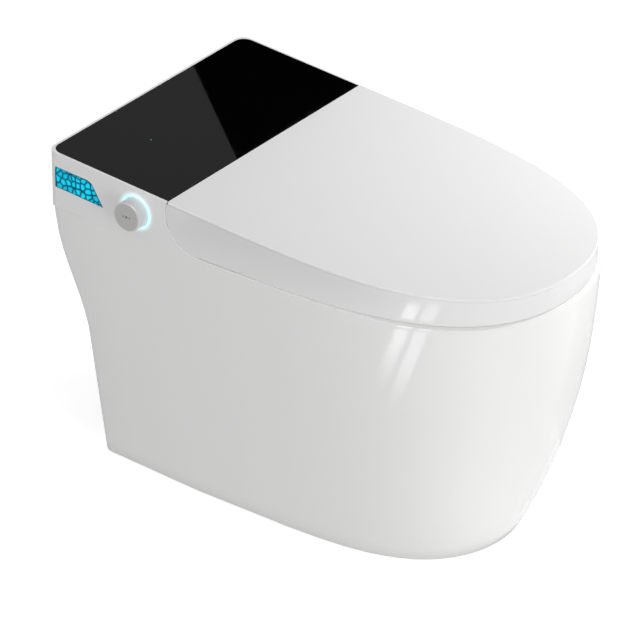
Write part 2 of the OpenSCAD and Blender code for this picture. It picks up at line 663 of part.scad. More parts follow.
module seat_base() {
    color("#e6e6e4") from_back() translate([0, 0, seat_low]) linear_extrude(2.6) difference() {
        polygon(seat_plan(seat_t));
        polygon(hole_plan(seat_t));
    }
}
module seat_bumpers() {
    color("#cfd0d1") from_back() both_sides() for (p = [[half_w - 55, -370], [half_w - 109, 68 - body_l]])
        translate([p[0], p[1], deck_h + touch_gap]) cylinder(h = seat_lift - touch_gap, r = 9);
}

/* Nozzle and shutter */
// The wand's line passes below the swinging lid; forward and down along it is -y
module along_nozzle() translate([0, hinge_y, hinge_z]) rotate([nozzle_tilt, 0, 0])
    translate([0, 0, -nozzle_line]) children();
// Distance along that line of a point that lies y from the back face
function nozzle_at(y) = (hinge_y + nozzle_line * sin(nozzle_tilt) - y) / cos(nozzle_tilt);
module nozzle_rod(from, to, r) along_nozzle() translate([0, -from, 0]) rotate([90, 0, 0])
    cylinder(h = to - from, r = r);
shutter_y = -well_front + 4.5;
shutter_z = tray_z - 8;
guide_front = nozzle_at(shutter_y + 9.5);
guide_back = guide_front - wand_l - 55;
wand_front = guide_front - 50;
tip_l = 22;
ear_t = 4;
module nozzle_guide() {
    color("#dcdcda") from_back() difference() {
        union() {
            nozzle_rod(guide_back, guide_front, wand_r + guide_t);
            // Feet on the tray
            for (y = [-150, -196]) side_view(-26, 26)
                polygon([[y, deck_h + 3], [y + 12, deck_h + 3], [y + 12, deck_h + 12], [y, deck_h + 12]]);
            // Cross bar and ears that carry the shutter
            side_view(-shutter_w / 2 - 1 - ear_t, shutter_w / 2 + 1 + ear_t)
                translate([shutter_y + 5, shutter_z - 24]) square([9, 19]);
            both_sides() side_view(shutter_w / 2 + 1, shutter_w / 2 + 1 + ear_t) hull() {
                translate([shutter_y, shutter_z]) circle(r = 4, $fn = 32);
                translate([shutter_y + 5, shutter_z - 24]) square([9, 19]);
            }
        }
        nozzle_rod(guide_back + 3, guide_front + 20, wand_r + run_fit);
        x_rod(-half_w, half_w, shutter_y, shutter_z, 2 + run_fit);
    }
}
module nozzle_wand() {
    color("#e9e9e7") from_back() difference() {
        nozzle_rod(wand_front - wand_l, wand_front - tip_l, wand_r);
        nozzle_rod(wand_front - wand_l - 1, wand_front - tip_l - 14, wand_r - 2.6);
        nozzle_rod(wand_front - tip_l - 12, wand_front - tip_l + 1, 4);
    }
}
module nozzle_tip() {
    color("#c4c7ca") from_back() difference() {
        union() {
            nozzle_rod(wand_front - tip_l, wand_front - 3.5, wand_r - 0.1);
            nozzle_rod(wand_front - tip_l - 11, wand_front - tip_l + 1, 4 - run_fit);
            along_nozzle() translate([0, -wand_front + 4, 0]) rotate([90, 0, 0])
                cylinder(h = 4, r1 = wand_r - 0.1, r2 = wand_r - 3.2);
        }
        // Spray holes on the upper side
        along_nozzle() for (i = [0 : 2]) for (s = [-1, 1])
            translate([s * 2, -wand_front + 9 + i * 3.4, 2]) cylinder(h = 10, r = 0.7, $fn = 16);
    }
}
module nozzle_shutter() {
    color("#eeeeec") from_back() {
        side_view(-shutter_w / 2, shutter_w / 2) {
            translate([shutter_y, shutter_z]) circle(r = 3.2);
            translate([shutter_y - 1.2, shutter_z - shutter_l]) square([2.4, shutter_l]);
        }
        x_rod(-shutter_w / 2 - ear_t, shutter_w / 2 + ear_t, shutter_y, shutter_z, 2);
    }
}
module nozzle_motor() {
    color("#55585c") from_back() {
        translate([-27 - 18, -128, deck_h + 3]) cube([30, 32, 34]);
        translate([-30, -112, deck_h + 37]) cylinder(h = 12, r = 12);
    }
}

/* Water, air and electronics under the housing */
inlet_x = 110;
inlet_y = -62;
module instant_heater() {
    color("#c9ccd0") from_back() {
        translate([118, -172, floor_z]) cube([64, 96, 40]);
        for (i = [0 : 5]) translate([116, -166 + i * 16, floor_z + 4]) cube([68, 6, 32]);
        translate([160, -77, floor_z + 16]) rotate([-90, 0, 0]) cylinder(h = 5, r = 6);
    }
}
module inlet_valve() {
    color("#3a3d42") from_back() {
        translate([inlet_x - 15, inlet_y - 12, floor_z]) cube([30, 24, 22]);
        translate([inlet_x, inlet_y, floor_z + 22]) cylinder(h = 22, r = 11);
        x_rod(inlet_x + 15, inlet_x + 22, inlet_y, floor_z + 16, 6);
    }
}
module inlet_fitting() {
    color("#c8a24a") from_back() difference() {
        union() {
            translate([inlet_x, inlet_y, tray_z - tray_t - 16]) cylinder(h = 17, r = 10.478);
            translate([inlet_x, inlet_y, tray_z - tray_t]) cylinder(h = tray_t + 4, r = 12);
        }
        translate([inlet_x, inlet_y, tray_z - tray_t - 17]) cylinder(h = 60, r = 7.5);
    }
}
module flush_valve() {
    color("#2f3237") from_back() {
        translate([-96, -84, tray_z - tray_t - 44]) cylinder(h = 44, r = 21);
        translate([-96, -84, tray_z - tray_t - 54]) cylinder(h = 12, r = 10);
        translate([-96, -84, tray_z - tray_t - 1]) cylinder(h = 20, r = 9.5);
        translate([-96, -84, floor_z]) cylinder(h = 4, r = 14, $fn = 6);
    }
}
// A round tube along a list of points, with a wall of thickness t
function hose_ring(a, b, c, r, sides) = let (d = (c - a) / norm(c - a),
        u0 = abs(d[2]) > 0.9 ? [1, 0, 0] : [0, 0, 1], u1 = cross(u0, d), u = u1 / norm(u1), v = cross(d, u))
    [for (k = [0 : sides - 1]) b + r * (cos(360 * k / sides) * u + sin(360 * k / sides) * v)];
function hose_rings(pts, r, sides) = let (n = len(pts)) [for (i = [0 : n - 1])
    hose_ring(pts[max(0, i - 1)], pts[i], pts[min(n - 1, i + 1)], r, sides)];
module hose(pts, r, t, sides) {
    outer = hose_rings(pts, r, sides);
    inner = hose_rings(pts, r - t, sides);
    skin(concat(outer, [for (i = [len(inner) - 1 : -1 : 0]) inner[i]]), closed = true);
}
hose_r = 9;
hose_low = deck_h - 91;
hose_x = -24;
module flush_hose() {
    bend = 23;
    top = tray_z - tray_t - 54;
    back = -84;
    end = -bowl_back - 8;
    color("#c7cbd0") from_back() hose(concat(
        [[-96, back, top]],
        [for (i = [0 : 6]) let (a = 90 * i / 6)
            [-96 + 8 * (1 - cos(a)), back - bend * (1 - cos(a)), hose_low + bend - bend * sin(a)]],
        [for (i = [1 : 5]) let (t = i / 6)
            [-88 + (hose_x + 88) * smooth(0, 1, t), back - bend + t * (end + 30 - back + bend), hose_low]],
        [[hose_x, end + 30, hose_low], [hose_x, end, hose_low]]
    ), hose_r, 1.8, 14);
}
module wash_hose() {
    bend = 7;
    z = floor_z + 16;
    color("#dfe3e6") from_back() hose(concat(
        [[inlet_x + 22, inlet_y, z]],
        [for (i = [0 : 4]) let (a = 90 * i / 4)
            [160 - bend + bend * sin(a), inlet_y - bend + bend * cos(a), z]],
        [[160, -72, z]]
    ), 4, 1.2, 12);
}
blower_x = 75;
blower_y = -118;
module dryer_housing() {
    color("#4b4e53") from_back() difference() {
        union() {
            translate([blower_x, blower_y, floor_z]) cylinder(h = blower_h, r = blower_r);
            translate([37, -160, floor_z]) cube([27, 42, blower_h - 4]);
        }
        difference() {
            union() {
                translate([blower_x, blower_y, floor_z + 2]) cylinder(h = blower_h - 4, r = blower_r - 2);
                translate([39, -161, floor_z + 2]) cube([23, 42, blower_h - 8]);
            }
            translate([blower_x, blower_y, floor_z]) cylinder(h = 5, r = 7);
            translate([blower_x, blower_y, floor_z]) cylinder(h = blower_h - 7, r = 3);
        }
        translate([blower_x, blower_y, floor_z + 5]) cylinder(h = blower_h, r = 17);
    }
}
module dryer_impeller() {
    color("#e3e4e6") from_back() translate([blower_x, blower_y, floor_z + 5 + touch_gap]) difference() {
        union() {
            cylinder(h = 2, r = impeller_r);
            cylinder(h = blower_h - 14, r = 8);
            for (i = [0 : blade_count - 1]) rotate([0, 0, 360 * i / blade_count])
                translate([impeller_r - 7, 0, 0]) rotate([0, 0, 35]) translate([-2, -0.6, 0])
                    cube([8, 1.2, blower_h - 12]);
        }
        translate([0, 0, -1]) cylinder(h = blower_h, r = 3 + run_fit);
    }
}
module dryer_duct() {
    color("#54575c") from_back() difference() {
        along_nozzle() translate([36, -guide_front - 12, -12]) cube([29, guide_front + 90, 22]);
        along_nozzle() translate([38, -guide_front - 20, -10]) cube([25, guide_front + 110, 18]);
        // Ends on the flat outlet of the blower
        translate([0, -160, 0]) cube([100, 200, 600]);
    }
}
module deodoriser() {
    color("#606468") from_back() difference() {
        translate([-160, -176, floor_z]) cube([96, 74, 30]);
        translate([-124, -139, floor_z + 8]) cylinder(h = 30, r = 24);
        for (i = [0 : 4]) translate([-90, -168 + i * 13, floor_z + 10]) cube([20, 7, 30]);
        translate([-124, -139, floor_z + 4]) cylinder(h = 10, r = 4);
    }
}
module board(x, y, w, l) {
    translate([x, y, floor_z + 6]) cube([w, l, 1.6]);
    for (i = [0, 1]) for (j = [0, 1]) translate([x + 5 + i * (w - 10), y + 5 + j * (l - 10), floor_z])
        cylinder(h = 6.5, r = 3);
}
module power_board() {
    color("#2c6b45") from_back() {
        board(-158, -74, 96, 54);
        translate([-150, -68, floor_z + 7]) cube([30, 26, 26]);
        translate([-110, -64, floor_z + 7]) cube([18, 38, 18]);
        for (i = [0 : 2]) translate([-78, -64 + i * 16, floor_z + 7]) cylinder(h = 22, r = 6);
    }
}
module control_board() {
    color("#24583a") from_back() {
        board(34, -74, 58, 50);
        translate([60, -60, floor_z + 7]) cube([16, 16, 3]);
        for (i = [0 : 3]) translate([38 + i * 13, -32, floor_z + 7]) cube([9, 6, 9]);
    }
}
module display_board() {
    color("#1c4a32") from_back() on_top(glass_t + shell_t + 1.7) {
        translate([-132, -114, 0]) cube([96, 58, 1.6]);
        translate([-118, -100, 1]) cube([42, 28, shell_t + 0.6]);
    }
}
module power_gland() {
    color("#e4e4e2") from_back() gland_place() difference() {
        union() {
            cylinder(h = gland_flange, r = 10);
            cylinder(h = 16, r = 6.9);
            translate([0, 0, shell_t]) cylinder(h = 4, r = 10, $fn = 6);
        }
        translate([0, 0, -3]) cylinder(h = 30, r = 3.6);
    }
}

ceramic_deck();
ceramic_skirt();
ceramic_bowl();
outlet_gasket();
rear_housing();
glass_top();
chassis_tray();
hinge_bridge();
lid_damper();
seat_damper();
light_lens();
light_board();
knob_light_ring();
encoder_body();
nozzle_guide();
nozzle_motor();
instant_heater();
inlet_valve();
inlet_fitting();
flush_valve();
flush_hose();
wash_hose();
dryer_housing();
dryer_duct();
deodoriser();
power_board();
control_board();
display_board();
power_gland();
housing_screws();
lid_plate();
lid_skirt();
lid_hinge_arms();
lid_hinge_shaft();
lid_bumpers();
seat_ring();
seat_base();
seat_hinge_arms();
seat_hinge_shaft();
seat_bumpers();
encoder_plunger();
side_knob();
nozzle_wand();
nozzle_tip();
nozzle_shutter();
dryer_impeller();
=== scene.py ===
"""Looks of a smart bidet toilet: glazed body, gloss lid and seat, black glass top, side knob and light."""

import json
import logging
import math
from dataclasses import dataclass
from enum import Enum
from functools import lru_cache
from typing import ClassVar, Dict, List, Optional, Sequence, Tuple

import bmesh
import bpy
from mathutils import Matrix, Vector
from mathutils.kdtree import KDTree

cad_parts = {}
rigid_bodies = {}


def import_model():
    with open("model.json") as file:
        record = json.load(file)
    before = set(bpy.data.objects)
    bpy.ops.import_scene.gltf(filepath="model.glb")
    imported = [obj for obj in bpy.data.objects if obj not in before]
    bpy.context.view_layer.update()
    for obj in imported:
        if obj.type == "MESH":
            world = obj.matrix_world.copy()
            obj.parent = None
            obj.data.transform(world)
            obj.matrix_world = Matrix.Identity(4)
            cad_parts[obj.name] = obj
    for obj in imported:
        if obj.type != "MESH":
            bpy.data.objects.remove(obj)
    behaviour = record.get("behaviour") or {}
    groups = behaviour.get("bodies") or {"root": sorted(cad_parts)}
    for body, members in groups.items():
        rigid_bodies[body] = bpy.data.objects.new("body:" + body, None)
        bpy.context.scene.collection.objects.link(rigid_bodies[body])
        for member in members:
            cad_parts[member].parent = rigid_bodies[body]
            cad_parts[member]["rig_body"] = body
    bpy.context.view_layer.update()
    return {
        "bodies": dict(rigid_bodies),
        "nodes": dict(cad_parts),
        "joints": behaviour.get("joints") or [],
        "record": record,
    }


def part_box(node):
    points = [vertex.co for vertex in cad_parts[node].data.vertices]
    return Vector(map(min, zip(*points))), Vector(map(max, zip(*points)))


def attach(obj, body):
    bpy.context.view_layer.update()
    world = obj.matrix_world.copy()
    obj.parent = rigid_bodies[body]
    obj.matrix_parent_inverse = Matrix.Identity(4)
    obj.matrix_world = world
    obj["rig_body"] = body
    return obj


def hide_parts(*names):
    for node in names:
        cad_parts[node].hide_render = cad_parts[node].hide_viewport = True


Triple = Tuple[float, float, float]
Pair = Tuple[float, float]
LOG = logging.getLogger("toilet")
MM = 0.001
SAME_PLACE = 2e-6
SAME_PLANE = math.radians(0.6)
SOFT_FROM = math.radians(40)
SCALAR, COLOUR, PLACE = "NodeSocketFloat", "NodeSocketColor", "NodeSocketVector"
FRAME: Dict[str, object] = {}


class Shape(Enum):
    """The angle in degrees up to which neighbouring faces of a node are smoothed."""

    TURNED = 34.0
    MOULDED = 24.0
    FOLDED = 12.0


class Ripple(Enum):
    """Fine relief that a finish carries, as (noise size in 1/m, height in m)."""

    GLAZE = (26.0, 0.00004)
    GLASS = (14.0, 0.000003)
    GLOSS = (60.0, 0.00003)
    SATIN = (900.0, 0.00004)
    GRAIN = (2600.0, 0.00006)
    RUBBER = (1500.0, 0.00008)


# Nodes and their arithmetic
class Value:
    """A node's output that plain arithmetic turns into further Math nodes."""

    def __init__(self, socket: bpy.types.NodeSocket) -> None:
        """Keeps the output."""
        self.socket = socket

    def through(self, operation: str, *others: object) -> "Value":
        """Passes the value through a Math node as its first operand."""
        return maths(self.socket.id_data, operation, self, *others)

    def __add__(self, other: object) -> "Value":
        """Gives the sum."""
        return self.through("ADD", other)

    def __sub__(self, other: object) -> "Value":
        """Gives the difference."""
        return self.through("SUBTRACT", other)

    def __rsub__(self, other: object) -> "Value":
        """Gives a number less this value."""
        return maths(self.socket.id_data, "SUBTRACT", other, self)

    def __mul__(self, other: object) -> "Value":
        """Gives the product."""
        return self.through("MULTIPLY", other)

    def __truediv__(self, other: object) -> "Value":
        """Gives the quotient."""
        return self.through("DIVIDE", other)

    def __rtruediv__(self, other: object) -> "Value":
        """Gives a number divided by this value."""
        return maths(self.socket.id_data, "DIVIDE", other, self)

    def __pow__(self, other: object) -> "Value":
        """Gives the power."""
        return self.through("POWER", other)


def feed(socket: bpy.types.NodeSocket, value: object) -> None:
    """Links an output to an input, or sets the input to a plain value.

    Args:
        socket: The input.
        value: A Value, an output, a number, a colour without its alpha, a text or a material.
    """
    if isinstance(value, Value):
        value = value.socket
    if isinstance(value, bpy.types.NodeSocket):
        socket.id_data.links.new(value, socket)
    elif socket.type == "RGBA":
        socket.default_value = (*value, 1.0)
    else:
        socket.default_value = value


def wire(node: bpy.types.Node, **values: object) -> bpy.types.Node:
    """Sets a node's properties and feeds its inputs.

    Args:
        node: The node.
        **values: Properties, or inputs where no property has that name.

    Returns:
        The node.
    """
    for key, value in values.items():
        if hasattr(node, key):
            setattr(node, key, value)
        else:
            feed(node.inputs[key.replace("_", " ")], value)
    return node


def put(tree: bpy.types.NodeTree, kind: str, **values: object) -> bpy.types.Node:
    """Adds a node of a class to a tree, sets its properties and feeds its inputs."""
    return wire(tree.nodes.new(kind), **values)


def maths(tree: bpy.types.NodeTree, operation: str, *values: object, kind: str = "ShaderNodeMath") -> Value:
    """Adds a node that works out a number or a vector.

    Args:
        tree: The tree that takes the node.
        operation: The operation's name.
        *values: Its operands, in order.
        kind: The node's class.

    Returns:
        The result.
    """
    node = put(tree, kind, operation=operation)
    for socket, value in zip(node.inputs, values):
        feed(socket, value)
    return Value(node.outputs[0])


def least(first: Value, *others: object) -> Value:
    """Gives the smallest of some values.

    Args:
        first: One value.
        *others: The others.

    Returns:
        The smallest.
    """
    for other in others:
        first = first.through("MINIMUM", other)
    return first


def shader_group(name: str, inputs: Dict[str, Tuple[str, object]], outputs: Dict[str, str]
                 ) -> Tuple[bpy.types.NodeTree, Dict[str, Value]]:
    """Starts a shader node group with named sockets.

    Args:
        name: The group's name.
        inputs: Socket name to its kind and first value.
        outputs: Socket name to its kind.

    Returns:
        The group and its inputs by name.
    """
    group = bpy.data.node_groups.new(name, "ShaderNodeTree")
    for label, (kind, value) in inputs.items():
        group.interface.new_socket(label, in_out="INPUT", socket_type=kind).default_value = value
    for label, kind in outputs.items():
        group.interface.new_socket(label, in_out="OUTPUT", socket_type=kind)
    start = group.nodes.new("NodeGroupInput")
    return group, {output.name: Value(output) for output in start.outputs}


@lru_cache(maxsize=None)
def wear_group() -> bpy.types.NodeTree:
    """Builds the group that gives handled and cleaned surfaces their drift, smears and relief.

    Returns:
        The group, with Tone, Rough and Height outputs.
    """
    group, read = shader_group(
        "surface_wear",
        {"Colour": (COLOUR, (1, 1, 1, 1)), "Worn": (COLOUR, (0.7, 0.7, 0.7, 1)), "Drift": (SCALAR, 6.0),
         "Amount": (SCALAR, 0.1), "Rough low": (SCALAR, 0.1), "Rough high": (SCALAR, 0.2),
         "Relief": (SCALAR, 60.0)},
        {"Tone": COLOUR, "Rough": SCALAR, "Height": SCALAR})
    place = put(group, "ShaderNodeTexCoord").outputs["Object"]
    drift = put(group, "ShaderNodeTexNoise", Vector=place, Scale=read["Drift"], Detail=3.0, Roughness=0.55)
    stretch = put(group, "ShaderNodeMapping", Vector=place, Scale=(5.0, 5.0, 1.4))
    smear = put(group, "ShaderNodeTexNoise", Vector=stretch.outputs["Vector"], Scale=read["Drift"],
                Detail=5.0, Roughness=0.62)
    relief = put(group, "ShaderNodeTexNoise", Vector=place, Scale=read["Relief"], Detail=2.0, Roughness=0.5)
    share = Value(drift.outputs["Fac"]) * read["Amount"]
    tone = put(group, "ShaderNodeMix", data_type="RGBA", Factor=share, A=read["Colour"], B=read["Worn"])
    span = put(group, "ShaderNodeMapRange", Value=smear.outputs["Fac"], From_Min=0.35, From_Max=0.7,
               To_Min=read["Rough low"], To_Max=read["Rough high"])
    put(group, "NodeGroupOutput", Tone=tone.outputs["Result"], Rough=span.outputs["Result"],
        Height=relief.outputs["Fac"])
    return group


@lru_cache(maxsize=None)
def brushed_group() -> bpy.types.NodeTree:
    """Builds the group for turned metal: fine rings about a line along the object's X axis.

    Returns:
        The group, with Tone and Height outputs.
    """
    group, read = shader_group(
        "turned_metal",
        {"Centre": (PLACE, (0.0, 0.0, 0.0)), "Colour": (COLOUR, (0.5, 0.5, 0.5, 1)),
         "Dark": (COLOUR, (0.4, 0.4, 0.4, 1)), "Pitch": (SCALAR, 4000.0)},
        {"Tone": COLOUR, "Height": SCALAR})
    place = put(group, "ShaderNodeTexCoord").outputs["Object"]
    away = maths(group, "SUBTRACT", place, read["Centre"], kind="ShaderNodeVectorMath")
    parts = put(group, "ShaderNodeSeparateXYZ", Vector=away)
    y, z = Value(parts.outputs["Y"]), Value(parts.outputs["Z"])
    rings = put(group, "ShaderNodeTexNoise", noise_dimensions="1D", W=(y * y + z * z).through("SQRT"),
                Scale=read["Pitch"], Detail=2.0)
    tone = put(group, "ShaderNodeMix", data_type="RGBA", Factor=rings.outputs["Fac"], A=read["Colour"],
               B=read["Dark"])
    put(group, "NodeGroupOutput", Tone=tone.outputs["Result"], Height=rings.outputs["Fac"])
    return group


def bare_material(name: str, **looks: object
                  ) -> Tuple[bpy.types.Material, bpy.types.NodeTree, bpy.types.Node]:
    """Makes a material that holds only a Principled shader.

    Args:
        name: The material's name.
        **looks: Inputs of the shader.

    Returns:
        The material, its tree and the Principled node.
    """
    made = bpy.data.materials.new("finish_" + name)
    made.use_nodes = True
    tree = made.node_tree
    tree.nodes.clear()
    skin = put(tree, "ShaderNodeBsdfPrincipled", **looks)
    put(tree, "ShaderNodeOutputMaterial", Surface=skin.outputs["BSDF"])
    return made, tree, skin


def relief_of(tree: bpy.types.NodeTree, height: bpy.types.NodeSocket, depth: float) -> bpy.types.NodeSocket:
    """Turns a height into a bent normal, with its depth in metres."""
    return put(tree, "ShaderNodeBump", Strength=1.0, Distance=depth, Height=height).outputs["Normal"]


# Finishes
@dataclass(frozen=True)
class Finish:
    """A surface finish made of the wear group and plain shader values."""

    name: str
    colour: Triple
    worn: Triple
    amount: float
    rough: Pair
    ripple: Ripple
    drift: float = 5.0
    metallic: float = 0.0
    coat: float = 0.0
    coat_rough: float = 0.04
    ior: float = 1.5
    specular: float = 0.5

    @lru_cache(maxsize=None)
    def make(self) -> bpy.types.Material:
        """Builds the material once.

        Returns:
            The finished material.
        """
        made, tree, skin = bare_material(self.name, Metallic=self.metallic, IOR=self.ior,
                                         Specular_IOR_Level=self.specular)
        fine, depth = self.ripple.value
        wear = put(tree, "ShaderNodeGroup", node_tree=wear_group(), Colour=self.colour, Worn=self.worn,
                   Drift=self.drift, Amount=self.amount, Rough_low=self.rough[0], Rough_high=self.rough[1],
                   Relief=fine)
        wire(skin, Base_Color=wear.outputs["Tone"], Roughness=wear.outputs["Rough"],
             Normal=relief_of(tree, wear.outputs["Height"], depth))
        if self.coat:
            wire(skin, Coat_Weight=self.coat, Coat_Roughness=self.coat_rough)
        return made


@dataclass(frozen=True)
class TurnedMetal:
    """Satin turned metal with fine rings about an axis along X."""

    name: str
    colour: Triple
    dark: Triple
    centre: Triple
    rough: Pair = (0.28, 0.42)
    drift: float = 40.0
    depth: float = 0.000012
    metallic: float = 0.85

    @lru_cache(maxsize=None)
    def make(self) -> bpy.types.Material:
        """Builds the material once.

        Returns:
            The finished material.
        """
        made, tree, skin = bare_material(self.name, Metallic=self.metallic)
        rings = put(tree, "ShaderNodeGroup", node_tree=brushed_group(), Centre=self.centre,
                    Colour=self.colour, Dark=self.dark)
        wear = put(tree, "ShaderNodeGroup", node_tree=wear_group(), Drift=self.drift, Rough_low=self.rough[0],
                   Rough_high=self.rough[1])
        wire(skin, Base_Color=rings.outputs["Tone"], Roughness=wear.outputs["Rough"],
             Normal=relief_of(tree, rings.outputs["Height"], self.depth))
        return made


@dataclass(frozen=True)
class Glow:
    """A lit translucent part: a pale body that gives off light of its own."""

    name: str
    body: Triple
    light: Triple
    strength: float
    dimmed: float = 0.72
    drift: float = 90.0
    amount: float = 0.5
    rough: Pair = (0.25, 0.45)
    depth: float = 0.00002

    @lru_cache(maxsize=None)
    def make(self) -> bpy.types.Material:
        """Builds the material once.

        Returns:
            The finished material.
        """
        made, tree, skin = bare_material(self.name, Base_Color=self.body, Emission_Strength=self.strength)
        dim = tuple(self.dimmed * level for level in self.light)
        wear = put(tree, "ShaderNodeGroup", node_tree=wear_group(), Colour=self.light, Worn=dim,
                   Drift=self.drift, Amount=self.amount, Rough_low=self.rough[0], Rough_high=self.rough[1])
        wire(skin, Roughness=wear.outputs["Rough"], Emission_Color=wear.outputs["Tone"],
             Normal=relief_of(tree, wear.outputs["Height"], self.depth))
        return made


@dataclass(frozen=True)
class HaloGlowPaintedShell:
    """The housing's gloss with a painted glow on the wall round the knob, standing in for the ring's light
    falling there.
    """

    base: Finish
    centre: Triple
    inner: float = 20.5 * MM
    outer: float = 33.0 * MM
    light: Triple = (0.50, 0.93, 1.0)
    strength: float = 0.42
    falloff: float = 1.6

    @lru_cache(maxsize=None)
    def make(self) -> bpy.types.Material:
        """Builds the material from the plain gloss and adds the painted glow.

        Returns:
            The finished material.
        """
        made = self.base.make()
        tree = made.node_tree
        skin = next(node for node in tree.nodes if node.type == "BSDF_PRINCIPLED")
        place = put(tree, "ShaderNodeTexCoord").outputs["Object"]
        away = maths(tree, "SUBTRACT", place, self.centre, kind="ShaderNodeVectorMath")
        size = put(tree, "ShaderNodeVectorMath", operation="LENGTH", Vector=away)
        fade = put(tree, "ShaderNodeMapRange", interpolation_type="SMOOTHERSTEP", Value=size.outputs["Value"],
                   From_Min=self.inner, From_Max=self.outer, To_Min=1.0, To_Max=0.0)
        # Painted glow: emission on the wall, full by the ring and fading outwards, standing in for the ring's
        # light on the wall
        soft = Value(fade.outputs["Result"]) ** self.falloff * self.strength
        wire(skin, Emission_Strength=soft, Emission_Color=self.light)
        return made


@dataclass(frozen=True)
class CrackleGlow:
    """The lit crackle cells: bright middles, deeper rims and a tone of its own for each cell."""

    name: str = "crackle_cells"
    bright: Triple = (0.0, 0.63, 0.86)
    deep: Triple = (0.0, 0.15, 0.26)
    tone_low: float = 0.62
    tone_span: float = 0.5
    strength: float = 0.5

    @lru_cache(maxsize=None)
    def make(self) -> bpy.types.Material:
        """Builds the material once; it reads the cells' rim and tone attributes.

        Returns:
            The finished material.
        """
        made, tree, skin = bare_material(self.name, Emission_Strength=self.strength, Roughness=0.22,
                                         Specular_IOR_Level=0.12)
        rim = put(tree, "ShaderNodeAttribute", attribute_name="cell_rise")
        tone = put(tree, "ShaderNodeAttribute", attribute_name="cell_tone")
        level = Value(rim.outputs["Fac"]) * (Value(tone.outputs["Fac"]) * self.tone_span + self.tone_low)
        mix = put(tree, "ShaderNodeMix", data_type="RGBA", Factor=level, A=self.deep, B=self.bright)
        wire(skin, Base_Color=mix.outputs["Result"], Emission_Color=mix.outputs["Result"])
        return made


@dataclass(frozen=True)
class BoardFinish:
    """Green circuit board with paler tracks under its lacquer."""

    name: str = "circuit_board"

    @lru_cache(maxsize=None)
    def make(self) -> bpy.types.Material:
        """Builds the material once.

        Returns:
            The finished material.
        """
        made, tree, skin = bare_material(self.name, Roughness=0.38)
        place = put(tree, "ShaderNodeTexCoord").outputs["Object"]
        tracks = put(tree, "ShaderNodeTexBrick", Vector=place, Scale=260.0, Mortar_Size=0.05,
                     Color1=(0.010, 0.11, 0.045), Color2=(0.012, 0.14, 0.055), Mortar=(0.05, 0.27, 0.10))
        wire(skin, Base_Color=tracks.outputs["Color"], Normal=relief_of(tree, tracks.outputs["Fac"], 0.00004))
        return made


GLAZE = Finish("white_glaze", (0.935, 0.932, 0.928), (0.90, 0.895, 0.888), 0.25, (0.05, 0.12), Ripple.GLAZE,
               drift=3.0, coat=0.25)
LID_GLOSS = Finish("lid_gloss", (0.88, 0.88, 0.878), (0.83, 0.828, 0.822), 0.22, (0.10, 0.20), Ripple.GLOSS,
                   drift=4.0)
HOUSING_GLOSS = Finish("housing_gloss", (0.92, 0.92, 0.918), (0.88, 0.878, 0.872), 0.22, (0.14, 0.26),
                       Ripple.GLOSS)
SEAT_GLOSS = Finish("seat_gloss", (0.81, 0.81, 0.805), (0.75, 0.745, 0.735), 0.25, (0.14, 0.28), Ripple.GLOSS)
INNER_WHITE = Finish("inner_white", (0.70, 0.70, 0.69), (0.60, 0.595, 0.58), 0.35, (0.38, 0.55), Ripple.SATIN)
TRAY_GREY = Finish("tray_grey", (0.52, 0.52, 0.51), (0.42, 0.415, 0.40), 0.4, (0.45, 0.65), Ripple.GRAIN)
BLACK_GLASS = Finish("black_glass", (0.0006, 0.0006, 0.0007), (0.0016, 0.0016, 0.0018), 0.5, (0.008, 0.03),
                     Ripple.GLASS, drift=9.0, specular=0.2)
DARK_PLASTIC = Finish("dark_plastic", (0.035, 0.036, 0.04), (0.075, 0.075, 0.08), 0.5, (0.4, 0.6),
                      Ripple.GRAIN, drift=20.0)
RUBBER = Finish("black_rubber", (0.02, 0.02, 0.021), (0.06, 0.058, 0.055), 0.5, (0.6, 0.85), Ripple.RUBBER)
GREY_RUBBER = Finish("grey_rubber", (0.42, 0.42, 0.42), (0.34, 0.335, 0.33), 0.5, (0.55, 0.8), Ripple.RUBBER)
HOSE = Finish("hose_rubber", (0.36, 0.38, 0.40), (0.26, 0.27, 0.28), 0.5, (0.35, 0.55), Ripple.SATIN,
              drift=30.0)
STEEL = Finish("satin_steel", (0.55, 0.56, 0.57), (0.42, 0.42, 0.43), 0.5, (0.22, 0.4), Ripple.SATIN,
               drift=60.0, metallic=1.0)
HEATER = Finish("heater_alloy", (0.62, 0.63, 0.64), (0.48, 0.48, 0.49), 0.5, (0.3, 0.5), Ripple.GRAIN,
                drift=25.0, metallic=0.9)
BRASS = Finish("bright_brass", (0.60, 0.42, 0.16), (0.42, 0.28, 0.11), 0.6, (0.22, 0.42), Ripple.SATIN,
               drift=50.0, metallic=1.0)
LID_SLOPE = 0.06502
KNOB_AXIS: Triple = (-0.205, 0.143, 0.428)
KNOB_METAL = TurnedMetal("knob_satin", (0.60, 0.595, 0.586), (0.51, 0.505, 0.50), KNOB_AXIS)
HALO = Glow("halo_light", (0.60, 0.88, 0.90), (0.42, 0.86, 0.92), 0.74)
# A lighter, less metallic copy of the knob's metal for its side wall and bevels: a painted sheen standing in
# for the light they mirror
KNOB_SIDE_PAINTED_SHEEN = Finish("knob_wall", (0.70, 0.70, 0.71), (0.65, 0.65, 0.66), 0.3, (0.30, 0.38), Ripple.GLOSS,
                   drift=40.0, metallic=0.15)
DOT_LIGHT = Glow("dot_light", (0.02, 0.3, 0.28), (0.0, 0.55, 0.42), 0.5)
LENS = Finish("lens_backing", (0.001, 0.10, 0.165), (0.001, 0.14, 0.21), 0.6, (0.12, 0.25), Ripple.GLOSS,
              drift=60.0, specular=0.08)


# Meshes and pieces
def placed(name: str, data: object) -> bpy.types.Object:
    """Puts a mesh, a lamp or a camera into the scene as an object.

    Args:
        name: The object's name.
        data: What it holds.

    Returns:
        The new object.
    """
    made = bpy.data.objects.new(name, data)
    bpy.context.scene.collection.objects.link(made)
    return made


